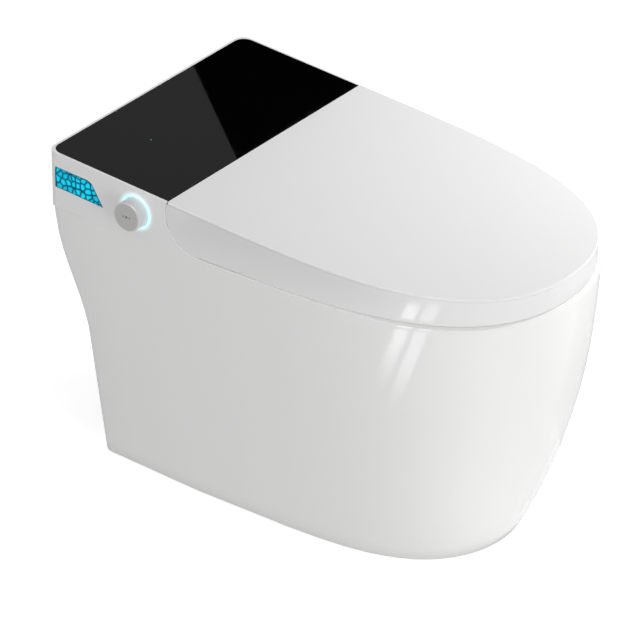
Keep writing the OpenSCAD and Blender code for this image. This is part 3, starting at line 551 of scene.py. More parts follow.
def link_piece(name: str, mesh: bpy.types.Mesh, body: str,
               finish: Optional[bpy.types.Material] = None) -> bpy.types.Object:
    """Puts a mesh into the scene as a piece that rides on a body.

    Args:
        name: The piece's name.
        mesh: Its mesh, in the shared frame.
        body: The CAD body that it moves with.
        finish: Its material, where the mesh has none yet.

    Returns:
        The new object.
    """
    piece = placed(name, mesh)
    if finish is not None:
        mesh.materials.clear()
        mesh.materials.append(finish)
    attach(piece, body)
    return piece


def dress(node: str, finish: bpy.types.Material) -> None:
    """Gives a CAD node its material.

    Args:
        node: The node's name.
        finish: The material for all its slots.
    """
    target = FRAME["nodes"][node]
    if not target.material_slots:
        target.data.materials.append(finish)
    for place in target.material_slots:
        place.material = finish


def mesh_of(form: bmesh.types.BMesh, name: str) -> bpy.types.Mesh:
    """Turns a form into a mesh and lets go of the form.

    Args:
        form: The form.
        name: The mesh's name.

    Returns:
        The new mesh.
    """
    mesh = bpy.data.meshes.new(name)
    form.to_mesh(mesh)
    form.free()
    return mesh


def smooth(mesh: bpy.types.Mesh, shape: Shape) -> None:
    """Smooths a mesh up to its shape's angle and leaves its edges sharp."""
    mesh.shade_smooth()
    mesh.set_sharp_from_angle(angle=math.radians(shape.value))


def merged_form(node: str, flatten: bool = False) -> bmesh.types.BMesh:
    """Copies a CAD node's mesh with its split vertices merged.

    Args:
        node: The node's name.
        flatten: Whether flat faces are joined.

    Returns:
        The new form.
    """
    form = bmesh.new()
    form.from_mesh(FRAME["nodes"][node].data)
    bmesh.ops.remove_doubles(form, verts=form.verts, dist=SAME_PLACE)
    if flatten:
        bmesh.ops.dissolve_limit(form, angle_limit=SAME_PLANE, verts=form.verts, edges=form.edges)
    return form


def refine(node: str, shape: Shape, finish: bpy.types.Material, bevel: float = 0.0
           ) -> bpy.types.Object:
    """Replaces a CAD node by a merged and smoothed copy, with softened edges where asked.

    Args:
        node: The node's name.
        shape: How strongly neighbouring faces are smoothed.
        finish: The material.
        bevel: Radius of the softened edges in metres, or 0 for none.

    Returns:
        The new piece.
    """
    mesh = mesh_of(merged_form(node, flatten=bevel > 0.0), node + "_form")
    smooth(mesh, shape)
    body = FRAME["nodes"][node]["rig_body"]
    piece = link_piece(node + "_skin", mesh, body, finish)
    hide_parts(node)
    if bevel:
        edge = piece.modifiers.new("soft_edges", "BEVEL")
        edge.width = bevel
        edge.segments = 2
        edge.limit_method = "ANGLE"
        edge.angle_limit = SOFT_FROM
        piece.modifiers.new("flat_faces", "WEIGHTED_NORMAL").weight = 80
    return piece


def growing_tree(name: str, sizes: Dict[str, float]) -> Tuple[bpy.types.NodeTree, Dict[str, Value]]:
    """Starts a Geometry Nodes tree with a named input for each size.

    Args:
        name: The tree's name.
        sizes: Input name to its first value.

    Returns:
        The tree and its inputs by name.
    """
    tree = bpy.data.node_groups.new(name, "GeometryNodeTree")
    tree.interface.new_socket("Geometry", in_out="OUTPUT", socket_type="NodeSocketGeometry")
    for label, value in sizes.items():
        tree.interface.new_socket(label, in_out="INPUT", socket_type=SCALAR).default_value = value
    start = tree.nodes.new("NodeGroupInput")
    return tree, {output.name: Value(output) for output in start.outputs}


def grid_place(tree: bpy.types.NodeTree) -> Tuple[Value, Value]:
    """Reads where each point of a flat grid lies.

    Args:
        tree: The tree.

    Returns:
        Its place along X and along Y.
    """
    where = put(tree, "GeometryNodeInputPosition")
    parts = put(tree, "ShaderNodeSeparateXYZ", Vector=where.outputs[0])
    return Value(parts.outputs["X"]), Value(parts.outputs["Y"])


def close_tree(tree: bpy.types.NodeTree, shape: bpy.types.NodeSocket, finish: bpy.types.Material) -> None:
    """Ends a Geometry Nodes tree with real geometry and its material.

    Args:
        tree: The tree.
        shape: The output that holds the geometry.
        finish: The material.
    """
    solid = put(tree, "GeometryNodeRealizeInstances", Geometry=shape)
    paint = put(tree, "GeometryNodeSetMaterial", Geometry=solid.outputs[0], Material=finish)
    put(tree, "NodeGroupOutput", Geometry=paint.outputs[0])


def grown_mesh(name: str, tree: bpy.types.NodeTree, values: Dict[str, float]) -> bpy.types.Mesh:
    """Runs a Geometry Nodes tree on an empty mesh and keeps the result.

    Args:
        name: The mesh's name.
        tree: The tree.
        values: Input name to value.

    Returns:
        The evaluated mesh, with no modifier left.
    """
    seedling = placed(name + "_seedling", bpy.data.meshes.new(name + "_blank"))
    grow = seedling.modifiers.new("grow", "NODES")
    grow.node_group = tree
    for item in tree.interface.items_tree:
        if item.item_type == "SOCKET" and item.in_out == "INPUT" and item.name in values:
            grow[item.identifier] = values[item.name]
    graph = bpy.context.evaluated_depsgraph_get()
    mesh = bpy.data.meshes.new_from_object(seedling.evaluated_get(graph), preserve_all_data_layers=True,
                                           depsgraph=graph)
    mesh.name = name
    seedling.modifiers.remove(grow)
    bpy.data.objects.remove(seedling)
    return mesh


class Assembly:
    """A sub-assembly: pieces of its own, and CAD nodes that only get a finish."""

    plain: ClassVar[Dict[str, object]] = {}

    def build(self) -> List[bpy.types.Object]:
        """Makes no piece, where the sub-assembly has none of its own."""
        return []

    def dress(self) -> None:
        """Gives the plain nodes their finishes."""
        for node, finish in self.plain.items():
            dress(node, finish.make())


@dataclass
class CeramicBody(Assembly):
    """The glazed casting with its bowl, trapway and skirt, and the gasket at its outlet."""

    nodes: Tuple[str, ...] = ("ceramic_deck", "ceramic_skirt", "ceramic_bowl")
    deck: float = 0.391
    rim: float = 3.0 * MM
    tighter: float = 0.15
    reach: float = 4.8 * MM
    seam: float = 5e-6
    plain: ClassVar[Dict[str, object]] = {"outlet_gasket": RUBBER}

    def build(self) -> List[bpy.types.Object]:
        """Unites the three drawn parts of the casting into one smooth skin.

        Returns:
            The new pieces.
        """
        blocks = [placed(node + "_block", mesh_of(merged_form(node), node + "_form")) for node in self.nodes]
        for block in blocks[1:]:
            weld = blocks[0].modifiers.new("weld", "BOOLEAN")
            weld.operation, weld.solver, weld.object = "UNION", "EXACT", block
        graph = bpy.context.evaluated_depsgraph_get()
        form = bmesh.new()
        form.from_mesh(blocks[0].evaluated_get(graph).to_mesh())
        bmesh.ops.remove_doubles(form, verts=form.verts, dist=self.seam)
        self.crisp_rim(form)
        mesh = mesh_of(form, "ceramic_form")
        for block in blocks:
            bpy.data.objects.remove(block)
        smooth(mesh, Shape.MOULDED)
        body = link_piece("ceramic_skin", mesh, "base", GLAZE.make())
        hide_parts(*self.nodes)
        return [body]

    def crisp_rim(self, form: bmesh.types.BMesh) -> None:
        """Tightens the rounding of the deck's outer edge, so that the seam under the lid is a thin line.

        Args:
            form: The casting's mesh, changed in place.
        """
        start = self.deck - self.rim
        foot = [vert for vert in form.verts if abs(vert.co.z - start) < SAME_PLACE]
        near = KDTree(len(foot))
        for index, vert in enumerate(foot):
            near.insert((vert.co.x, vert.co.y, 0.0), index)
        near.balance()
        for vert in form.verts:
            spot, _, away = near.find((vert.co.x, vert.co.y, 0.0))
            if vert.co.z > start + SAME_PLACE and away < self.reach:
                vert.co.x = spot.x + (vert.co.x - spot.x) * self.tighter
                vert.co.y = spot.y + (vert.co.y - spot.y) * self.tighter
                vert.co.z = self.deck - (self.deck - vert.co.z) * self.tighter
        for vert in foot:
            vert.co.z = self.deck - self.rim * self.tighter


@dataclass
class RearHousing(Assembly):
    """The housing behind the lid with its glass top, screws and mains gland."""

    edge: float = 0.5 * MM
    dot_at: Triple = (-0.0957, 0.2048, 0.46652)
    dot_radius: float = 0.9 * MM
    dot_flatness: float = 0.12
    plain: ClassVar[Dict[str, object]] = {"housing_screws": STEEL, "power_gland": RUBBER}

    def build(self) -> List[bpy.types.Object]:
        """Makes the housing, the glass and the indicator dot.

        Returns:
            The new pieces.
        """
        # The housing's material carries the painted glow round the knob
        gloss = HaloGlowPaintedShell(HOUSING_GLOSS, KNOB_AXIS).make()
        shell = refine("rear_housing", Shape.MOULDED, gloss, self.edge)
        glass = refine("glass_top", Shape.MOULDED, BLACK_GLASS.make())
        return [shell, glass, self.indicator()]

    def indicator(self) -> bpy.types.Object:
        """Makes the small lit dot that shines through the glass.

        Returns:
            The dot, a low dome on the glass.
        """
        form = bmesh.new()
        bmesh.ops.create_uvsphere(form, u_segments=16, v_segments=8, radius=self.dot_radius)
        flat = Matrix.Diagonal((1.0, 1.0, self.dot_flatness, 1.0))
        bmesh.ops.transform(form, matrix=Matrix.Translation(self.dot_at) @ flat, verts=form.verts)
        mesh = mesh_of(form, "indicator_dot")
        mesh.shade_smooth()
        return link_piece("indicator_dot", mesh, "base", DOT_LIGHT.make())


@dataclass
class SideLight(Assembly):
    """The lit crackle panel in the side wall, behind the knob."""

    back: float = 0.2762
    tip: float = 0.1974
    low: float = 0.4158
    high: float = 0.4467
    rise_to_back: float = 0.0699
    slant: float = 0.0196
    corner: Pair = (0.2218, 0.4479)
    rise_at_top: float = 0.055
    lens_top: float = 0.4460
    face: float = -0.205
    sink: float = 0.02 * MM
    rise: float = 0.5 * MM
    cell: float = 8.6 * MM
    gap: float = 0.052
    full_rise: float = 0.30
    grid: Tuple[int, int] = (250, 96)
    wildness: float = 0.85
    jump: Pair = (3.7, 1.3)
    seed: int = 7
    front_lean: float = 0.85
    cut_slope: float = 0.6
    cut_lean: Pair = (0.514, 0.857)
    pebble: float = 0.78
    pebble_slope: float = 0.9
    border_slope: float = 0.8
    border_start: float = 0.05
    strip: Pair = (-0.05 * MM, 0.3 * MM)
    plain: ClassVar[Dict[str, object]] = {"light_lens": LENS, "light_board": BoardFinish()}

    def tree(self, finish: bpy.types.Material) -> bpy.types.NodeTree:
        """Builds the Geometry Nodes tree that grows the crackle cells on a slanted panel.

        Args:
            finish: The cells' material.

        Returns:
            The tree.
        """
        tree, read = growing_tree("crackle_panel", {
            "Length": self.back - self.tip, "Height": self.high - self.low, "Slant": self.slant,
            "Cell size": self.cell, "Gap": self.gap, "Rise": self.rise})
        grid = put(tree, "GeometryNodeMeshGrid", Vertices_X=self.grid[0], Vertices_Y=self.grid[1],
                   Size_X=read["Length"], Size_Y=read["Height"])
        x, y = grid_place(tree)
        # Share of the way along and up the panel, then the place on the wall
        along, up = x / read["Length"] + 0.5, y / read["Height"] + 0.5
        front = up * read["Slant"] + self.tip
        depth = self.back - along * (self.back - front)
        foot = (depth - self.tip) * self.rise_to_back + self.low
        roof = (depth - self.corner[0]) * self.rise_at_top + self.corner[1]
        tall = up * (roof - foot) + foot
        # The seed picks the place in the pattern
        size = read["Cell size"]
        spot = put(tree, "ShaderNodeCombineXYZ", X=depth / size + self.seed * self.jump[0],
                   Y=tall / size + self.seed * self.jump[1])
        cells = {"voronoi_dimensions": "2D", "Scale": 1.0, "Randomness": self.wildness,
                 "Vector": spot.outputs[0]}
        edge = put(tree, "ShaderNodeTexVoronoi", feature="DISTANCE_TO_EDGE", **cells)
        tone = put(tree, "ShaderNodeTexVoronoi", feature="F1", **cells)
        # The panel's own outline bounds the cells too: foot, top, back, slanted front and the cut corner
        cut = (depth - self.corner[0]) * self.cut_lean[0] + (self.corner[1] - tall) * self.cut_lean[1]
        border = least(tall - foot, roof - tall, self.back - depth, (depth - front) * self.front_lean, cut)
        # Cells are pebbles: their far corners are cut off by the distance from their middles
        pebble = (self.pebble - Value(tone.outputs["Distance"])) * self.pebble_slope
        inward = least(Value(edge.outputs["Distance"]), pebble,
                       border / size * self.border_slope + self.border_start)
        ramp = put(tree, "ShaderNodeMapRange", interpolation_type="SMOOTHSTEP", Value=inward,
                   From_Min=read["Gap"], From_Max=self.full_rise)
        level = Value(ramp.outputs["Result"])
        place = put(tree, "ShaderNodeCombineXYZ", Y=depth, Z=tall,
                    X=self.face + self.sink - level.through("SQRT") * read["Rise"])
        shape = grid.outputs["Mesh"]
        shade = put(tree, "ShaderNodeSeparateXYZ", Vector=tone.outputs["Color"])
        for label, value in (("cell_rise", level), ("cell_tone", shade.outputs["X"]), ("edge_gap", inward)):
            keep = put(tree, "GeometryNodeStoreNamedAttribute", data_type="FLOAT", domain="POINT",
                       Geometry=shape, Name=label, Value=value)
            shape = keep.outputs[0]
        move = put(tree, "GeometryNodeSetPosition", Geometry=shape, Position=place.outputs[0])
        kept = put(tree, "GeometryNodeInputNamedAttribute", data_type="FLOAT", Name="edge_gap")
        below = maths(tree, "LESS_THAN", kept.outputs[0], read["Gap"], kind="FunctionNodeCompare")
        rub = put(tree, "GeometryNodeDeleteGeometry", domain="FACE", Geometry=move.outputs[0],
                  Selection=below)
        close_tree(tree, rub.outputs[0], finish)
        return tree

    def build(self) -> List[bpy.types.Object]:
        """Grows the cells and turns them into a plain mesh.

        Returns:
            The cells as one piece, and the strip over the lens.
        """
        values = {"Length": self.back - self.tip, "Height": self.high - self.low, "Slant": self.slant}
        mesh = grown_mesh("crackle_cells", self.tree(CrackleGlow().make()), values)
        mesh.flip_normals()
        mesh.shade_smooth()
        return [link_piece("crackle_cells", mesh, "base"), self.surround()]

    def surround(self) -> bpy.types.Object:
        """Makes the thin dark strip over the lens that carries the cells' rising top edge.

        Returns:
            The strip as one piece, let into the housing's wall.
        """
        front, top = self.corner
        top_back = top + self.rise_at_top * (self.back - front)
        outline = ((self.back, self.lens_top), (self.back, top_back), self.corner,
                   (front - (top - self.lens_top) / self.cut_slope, self.lens_top))
        form = bmesh.new()
        outer, inner = [[form.verts.new((self.face + step, y, z)) for y, z in outline] for step in self.strip]
        form.faces.new(outer)
        form.faces.new(inner[::-1])
        for here in range(len(outline)):
            after = (here + 1) % len(outline)
            form.faces.new((outer[after], outer[here], inner[here], inner[after]))
        bmesh.ops.recalc_face_normals(form, faces=form.faces)
        return link_piece("light_surround", mesh_of(form, "light_surround"), "base", LENS.make())


@dataclass
class KnobSet(Assembly):
    """The side knob with its light ring and the encoder behind it."""

    mark_x: float = -0.22398
    mark_pitch: float = 5.0 * MM
    mark_sizes: Triple = (1.12 * MM, 1.6 * MM, 1.12 * MM)
    mark_depth: float = 0.1 * MM
    face_radius: float = 10.0 * MM
    face_normal: float = 0.97
    plain: ClassVar[Dict[str, object]] = {"encoder_body": DARK_PLASTIC, "encoder_plunger": STEEL}

    def build(self) -> List[bpy.types.Object]:
        """Makes the knob and its light ring.

        Returns:
            The new pieces.
        """
        knob = refine("side_knob", Shape.FOLDED, KNOB_METAL.make())
        # The side wall and bevels get the lighter finish, a painted sheen
        knob.data.materials.append(KNOB_SIDE_PAINTED_SHEEN.make())
        for face in knob.data.polygons:
            away = face.center - Vector(KNOB_AXIS)
            if abs(face.normal.x) < self.face_normal and math.hypot(away.y, away.z) > self.face_radius:
                face.material_index = 1
        ring = refine("knob_light_ring", Shape.TURNED, HALO.make())
        return [knob, ring, self.marks()]

    def marks(self) -> bpy.types.Object:
        """Covers the three shallow recesses in the knob's face with dark dots.

        Returns:
            The three discs as one piece.
        """
        form = bmesh.new()
        stand = Matrix.Rotation(math.radians(90), 4, "Y")
        for side, radius in zip((-1, 0, 1), self.mark_sizes):
            at = Matrix.Translation((self.mark_x, KNOB_AXIS[1] + side * self.mark_pitch, KNOB_AXIS[2]))
            bmesh.ops.create_cone(form, cap_ends=True, segments=32, radius1=radius, radius2=radius,
                                  depth=self.mark_depth, matrix=at @ stand)
        mesh = mesh_of(form, "knob_marks")
        return link_piece("knob_marks", mesh, "knob", DARK_PLASTIC.make())


@dataclass
class LidPlate:
    """The lid's plate, grown from its rule: a straight back that runs into a superellipse at the nose."""

    shoulder: float = 0.068
    power_across: float = 2.256
    power_along: float = 3.7
    top_at_wall: float = 0.472
    wall: float = 0.29
    thickness: float = 4.5 * MM
    rounding: float = 1.6 * MM
    chamfer: float = 1.0 * MM
    corner: float = 3.0 * MM
    around: Tuple[int, ...] = (60, 72, 78, 96)
    across: Tuple[int, ...] = (14, 20, 22, 24, 32)
    crowding: Pair = (2.5, 2.2)
    seam: float = 2e-5

    def spans(self, tree: bpy.types.NodeTree, share: Value, stops: Sequence[int]) -> List[Value]:
        """Cuts a share from 0 to 1 into stretches that each run from 0 to 1.

        Args:
            tree: The tree.
            share: The whole share.
            stops: Number of the last step of each stretch.

        Returns:
            One value for each stretch.
        """
        whole = stops[-1]
        ramps = [put(tree, "ShaderNodeMapRange", Value=share, From_Min=start / whole, From_Max=stop / whole)
                 for start, stop in zip((0, *stops), stops)]
        return [Value(ramp.outputs["Result"]) for ramp in ramps]

    def tree(self, finish: bpy.types.Material, sizes: Dict[str, float]) -> bpy.types.NodeTree:
        """Builds the Geometry Nodes tree that bends a grid round the plate.

        Args:
            finish: The plate's material.
            sizes: The plate's half width, its back and its nose.

        Returns:
            The tree.
        """
        tree, read = growing_tree("lid_plate_form", {
            **sizes, "Shoulder": self.shoulder, "Power across": self.power_across,
            "Power along": self.power_along, "Thickness": self.thickness, "Rounding": self.rounding})

        def quarter(share: Value, operation: str) -> Value:
            """Gives the sine or cosine of a share of a quarter turn."""
            return (share * (math.pi / 2)).through(operation)

        grid = put(tree, "GeometryNodeMeshGrid", Vertices_X=2 * self.around[-1] + 1,
                   Vertices_Y=self.across[-1] + 1)
        x, y = grid_place(tree)
        # Round the plate: nose, side, corner and back, once on each side of the middle
        turn = x * 2.0
        nose, side, corner, rear = self.spans(tree, turn.through("ABSOLUTE"), self.around)
        # Over the plate: top, rounding, edge, chamfer and underside
        top, bend, edge, chamfer, under = self.spans(tree, y + 0.5, self.across)
        rounding, shoulder = read["Rounding"], read["Shoulder"]
        inset = (1.0 - quarter(bend, "SINE")) * rounding + chamfer * self.chamfer
        tall = read["Thickness"] - rounding - self.chamfer
        depth = (1.0 - quarter(bend, "COSINE")) * rounding + edge * tall + chamfer * self.chamfer
        wide, tip = read["Half width"] - inset, read["Nose"] + inset
        heel = read["Back"] - inset * 0.5
        swing = 1.0 - nose
        bow = quarter(swing, "COSINE") ** (2.0 / read["Power across"])
        reach = quarter(swing, "SINE") ** (2.0 / read["Power along"])
        x = wide * bow - (1.0 - quarter(corner, "COSINE")) * self.corner - rear * (wide - self.corner)
        y = (tip - shoulder) * reach + shoulder
        y = y + side * (heel - self.corner - shoulder) + quarter(corner, "SINE") * self.corner
        # The rings close up towards the edge and meet in the middle
        spread = 1.0 - (1.0 - top) ** self.crowding[0] - under ** self.crowding[1]
        x = x * spread * turn.through("SIGN")
        middle = read["Nose"] * 0.5 + read["Back"] * 0.5
        y = (y - middle) * spread + middle
        z = (y - self.wall) * LID_SLOPE + self.top_at_wall - depth
        place = put(tree, "ShaderNodeCombineXYZ", X=x, Y=y, Z=z)
        move = put(tree, "GeometryNodeSetPosition", Geometry=grid.outputs["Mesh"], Position=place.outputs[0])
        weld = put(tree, "GeometryNodeMergeByDistance", Distance=self.seam, Geometry=move.outputs[0])
        close_tree(tree, weld.outputs[0], finish)
        return tree

    def build(self, finish: bpy.types.Material) -> bpy.types.Object:
        """Grows the plate and puts it in place of the CAD's.

        Args:
            finish: The plate's material.

        Returns:
            The new piece.
        """
        low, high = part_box("lid_plate")
        sizes = {"Half width": high.x, "Back": high.y, "Nose": low.y}
        mesh = grown_mesh("lid_plate_form", self.tree(finish, sizes), sizes)
        form = bmesh.new()
        form.from_mesh(mesh)
        bmesh.ops.recalc_face_normals(form, faces=form.faces)
        form.to_mesh(mesh)
        form.free()
        smooth(mesh, Shape.MOULDED)
        plate = link_piece("lid_plate_skin", mesh, "lid")
        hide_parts("lid_plate")
        return plate


@dataclass
class LidSet(Assembly):
    """The lid: its plate, its skirt, brought out nearly flush with the plate, and what hinges it."""

    lip: float = 0.6 * MM
    corner: float = 3.05 * MM
    tighter: float = 0.3
    reach: float = 2.6 * MM
    lower: float = 1.25 * MM
    foot_band: float = 0.4 * MM
    swing: float = 0.050
    arc_foot: float = 17.0 * MM
    arc_bands: Tuple[int, ...] = (-2, -1, 0, 1, 2)
    arc_band: float = 6.0 * MM
    plate_foot: float = 0.44864
    flare: Pair = (0.0021, 1.3 * MM)
    hinge_y: float = 0.045
    hinge_z: float = 0.44209
    plain: ClassVar[Dict[str, object]] = {"lid_hinge_arms": INNER_WHITE, "lid_hinge_shaft": STEEL,
                                          "lid_bumpers": GREY_RUBBER, "lid_damper": DARK_PLASTIC}

    def build(self) -> List[bpy.types.Object]:
        """Makes the lid's plate and skirt.

        Returns:
            The new pieces.
        """
        gloss = LID_GLOSS.make()
        skirt = refine("lid_skirt", Shape.MOULDED, gloss)
        self.fit_skirt(skirt.data)
        return [LidPlate().build(gloss), skirt]

    def fit_skirt(self, mesh: bpy.types.Mesh) -> None:
        """Closes the seams round the skirt: nearly flush sides, a hairline over the deck and behind.

        Args:
            mesh: The skirt's mesh, changed in place.
        """
        plate_low, plate_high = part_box("lid_plate")
        foot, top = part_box("lid_skirt")
        form = bmesh.new()
        form.from_mesh(mesh)
        for step in self.arc_bands:
            bmesh.ops.bisect_plane(form, geom=form.verts[:] + form.edges[:] + form.faces[:], dist=1e-6,
                                   plane_co=(0, 0, self.hinge_z + step * self.arc_band), plane_no=(0, 0, 1))
        wide = (plate_high.x - self.lip) / top.x
        long = (top.y - plate_low.y - self.lip) / (top.y - foot.y)
        for vert in form.verts:
            spot = vert.co
            side = math.copysign(1.0, spot.x)
            back, out = top.y - spot.y, top.x - abs(spot.x)
            if back < self.corner and out < self.corner:
                spot.y, spot.x = top.y - back * self.tighter, side * (top.x - out * self.tighter)
            rise = spot.z - self.hinge_z
            if top.y - spot.y < self.reach and rise > -self.arc_foot:
                spot.y += self.hinge_y + math.sqrt(self.swing ** 2 - rise ** 2) - top.y
            under = self.plate_foot + LID_SLOPE * spot.y
            drop = min(1.0, max(0.0, (under - spot.z) / (under - foot.z)))
            along = max(0.0, (top.y - spot.y) / (top.y - foot.y))
            spot.x *= wide + self.flare[0] * drop
            if spot.y < top.y:
                spot.y = top.y + (spot.y - top.y) * long - self.flare[1] * drop * along
            if spot.z < foot.z + self.foot_band:
                spot.z -= self.lower
        form.to_mesh(mesh)
        form.free()
        smooth(mesh, Shape.MOULDED)


@dataclass
class SeatSet(Assembly):
    """The heated seat and what hinges it."""

    plain: ClassVar[Dict[str, object]] = {
        "seat_base": INNER_WHITE, "seat_hinge_arms": INNER_WHITE, "seat_hinge_shaft": STEEL,
        "seat_bumpers": GREY_RUBBER, "seat_damper": DARK_PLASTIC, "hinge_bridge": INNER_WHITE}

    def build(self) -> List[bpy.types.Object]:
        """Makes the seat ring."""
        return [refine("seat_ring", Shape.TURNED, SEAT_GLOSS.make())]


@dataclass
class NozzleSet(Assembly):
    """The washing nozzle, its guide, its drive and its shutter."""

    plain: ClassVar[Dict[str, object]] = {"nozzle_guide": INNER_WHITE, "nozzle_motor": DARK_PLASTIC,
                                          "nozzle_shutter": INNER_WHITE}

    def build(self) -> List[bpy.types.Object]:
        """Makes the wand and its tip."""
        return [refine("nozzle_wand", Shape.TURNED, INNER_WHITE.make()),
                refine("nozzle_tip", Shape.TURNED, STEEL.make())]


@dataclass
class InnerWorks(Assembly):
    """What stands on the tray under the housing."""

    plain: ClassVar[Dict[str, object]] = {
        "chassis_tray": TRAY_GREY, "instant_heater": HEATER, "inlet_valve": DARK_PLASTIC,
        "inlet_fitting": BRASS, "flush_valve": DARK_PLASTIC, "flush_hose": HOSE, "wash_hose": HOSE,
        "dryer_housing": DARK_PLASTIC, "dryer_duct": DARK_PLASTIC, "dryer_impeller": INNER_WHITE,
        "deodoriser": DARK_PLASTIC, "power_board": BoardFinish(), "control_board": BoardFinish(),
        "display_board": BoardFinish()}


@dataclass(frozen=True)
class Edge:
    """One edge of a light ribbon in plan: straight runs, then a curve through three points."""

    curve: Tuple[Pair, Pair, Pair]
    runs: Tuple[Pair, ...] = ()
    steps: int = 8

    def points(self) -> List[Pair]:
        """Walks the edge from its far end to its near one.

        Returns:
            The edge's points.
        """
        first, middle, last = (Vector(point) for point in self.curve)
        pull = 2.0 * middle - (first + last) / 2.0
        shares = [step / self.steps for step in range(self.steps + 1)]
        bent = [first * (1 - t) ** 2 + pull * 2 * t * (1 - t) + last * t ** 2 for t in shares]
        return [*self.runs, *(tuple(point) for point in bent)]


@dataclass(frozen=True)
class Ribbon:
    """A strip of light over the floor that only gloss can see."""

    name: str
    height: float
    strength: float
    left: Edge
    right: Edge
    fade: Optional[Pair] = None

    def corners(self) -> List[Triple]:
        """Gives the outline, out along the left edge and back along the right one."""
        plan = self.left.points() + self.right.points()[::-1]
        return [(x, y, self.height) for x, y in plan]


SKIRT_LEVEL = 0.388
FLOOR_LEVEL = 0.02
# Plan outlines chosen so that the lid's rim and the glazed wall show two slanted streaks near the nose
RIBBONS = (
    Ribbon("near_ribbon_left", SKIRT_LEVEL, 5.0,
           Edge(((-0.225, -0.272), (-0.1935, -0.2615), (-0.168, -0.2545))),
           Edge(((-0.2215, -0.296), (-0.193, -0.282), (-0.1675, -0.2715)))),
    Ribbon("near_ribbon_right", SKIRT_LEVEL, 3.2,
           Edge(((-0.219, -0.306), (-0.1905, -0.2905), (-0.169, -0.2805))),
           Edge(((-0.211, -0.330), (-0.1925, -0.3175), (-0.1655, -0.2985)))),
    Ribbon("far_ribbon_left", FLOOR_LEVEL, 3.7,
           Edge(((-0.537, -0.172), (-0.492, -0.140), (-0.436, -0.118)), ((-0.869, -0.210), (-0.541, -0.186))),
           Edge(((-0.552, -0.252), (-0.515, -0.209), (-0.443, -0.162)), ((-1.506, -0.401),)),
           (-0.435, -0.545)),
    Ribbon("far_ribbon_right", FLOOR_LEVEL, 2.8,
           Edge(((-0.543, -0.272), (-0.488, -0.217), (-0.390, -0.164)), ((-1.630, -0.520), (-0.606, -0.300))),
           Edge(((-0.535, -0.351), (-0.488, -0.282), (-0.391, -0.198)), ((-1.600, -0.702), (-0.758, -0.434))),
           (-0.39, -0.50)))


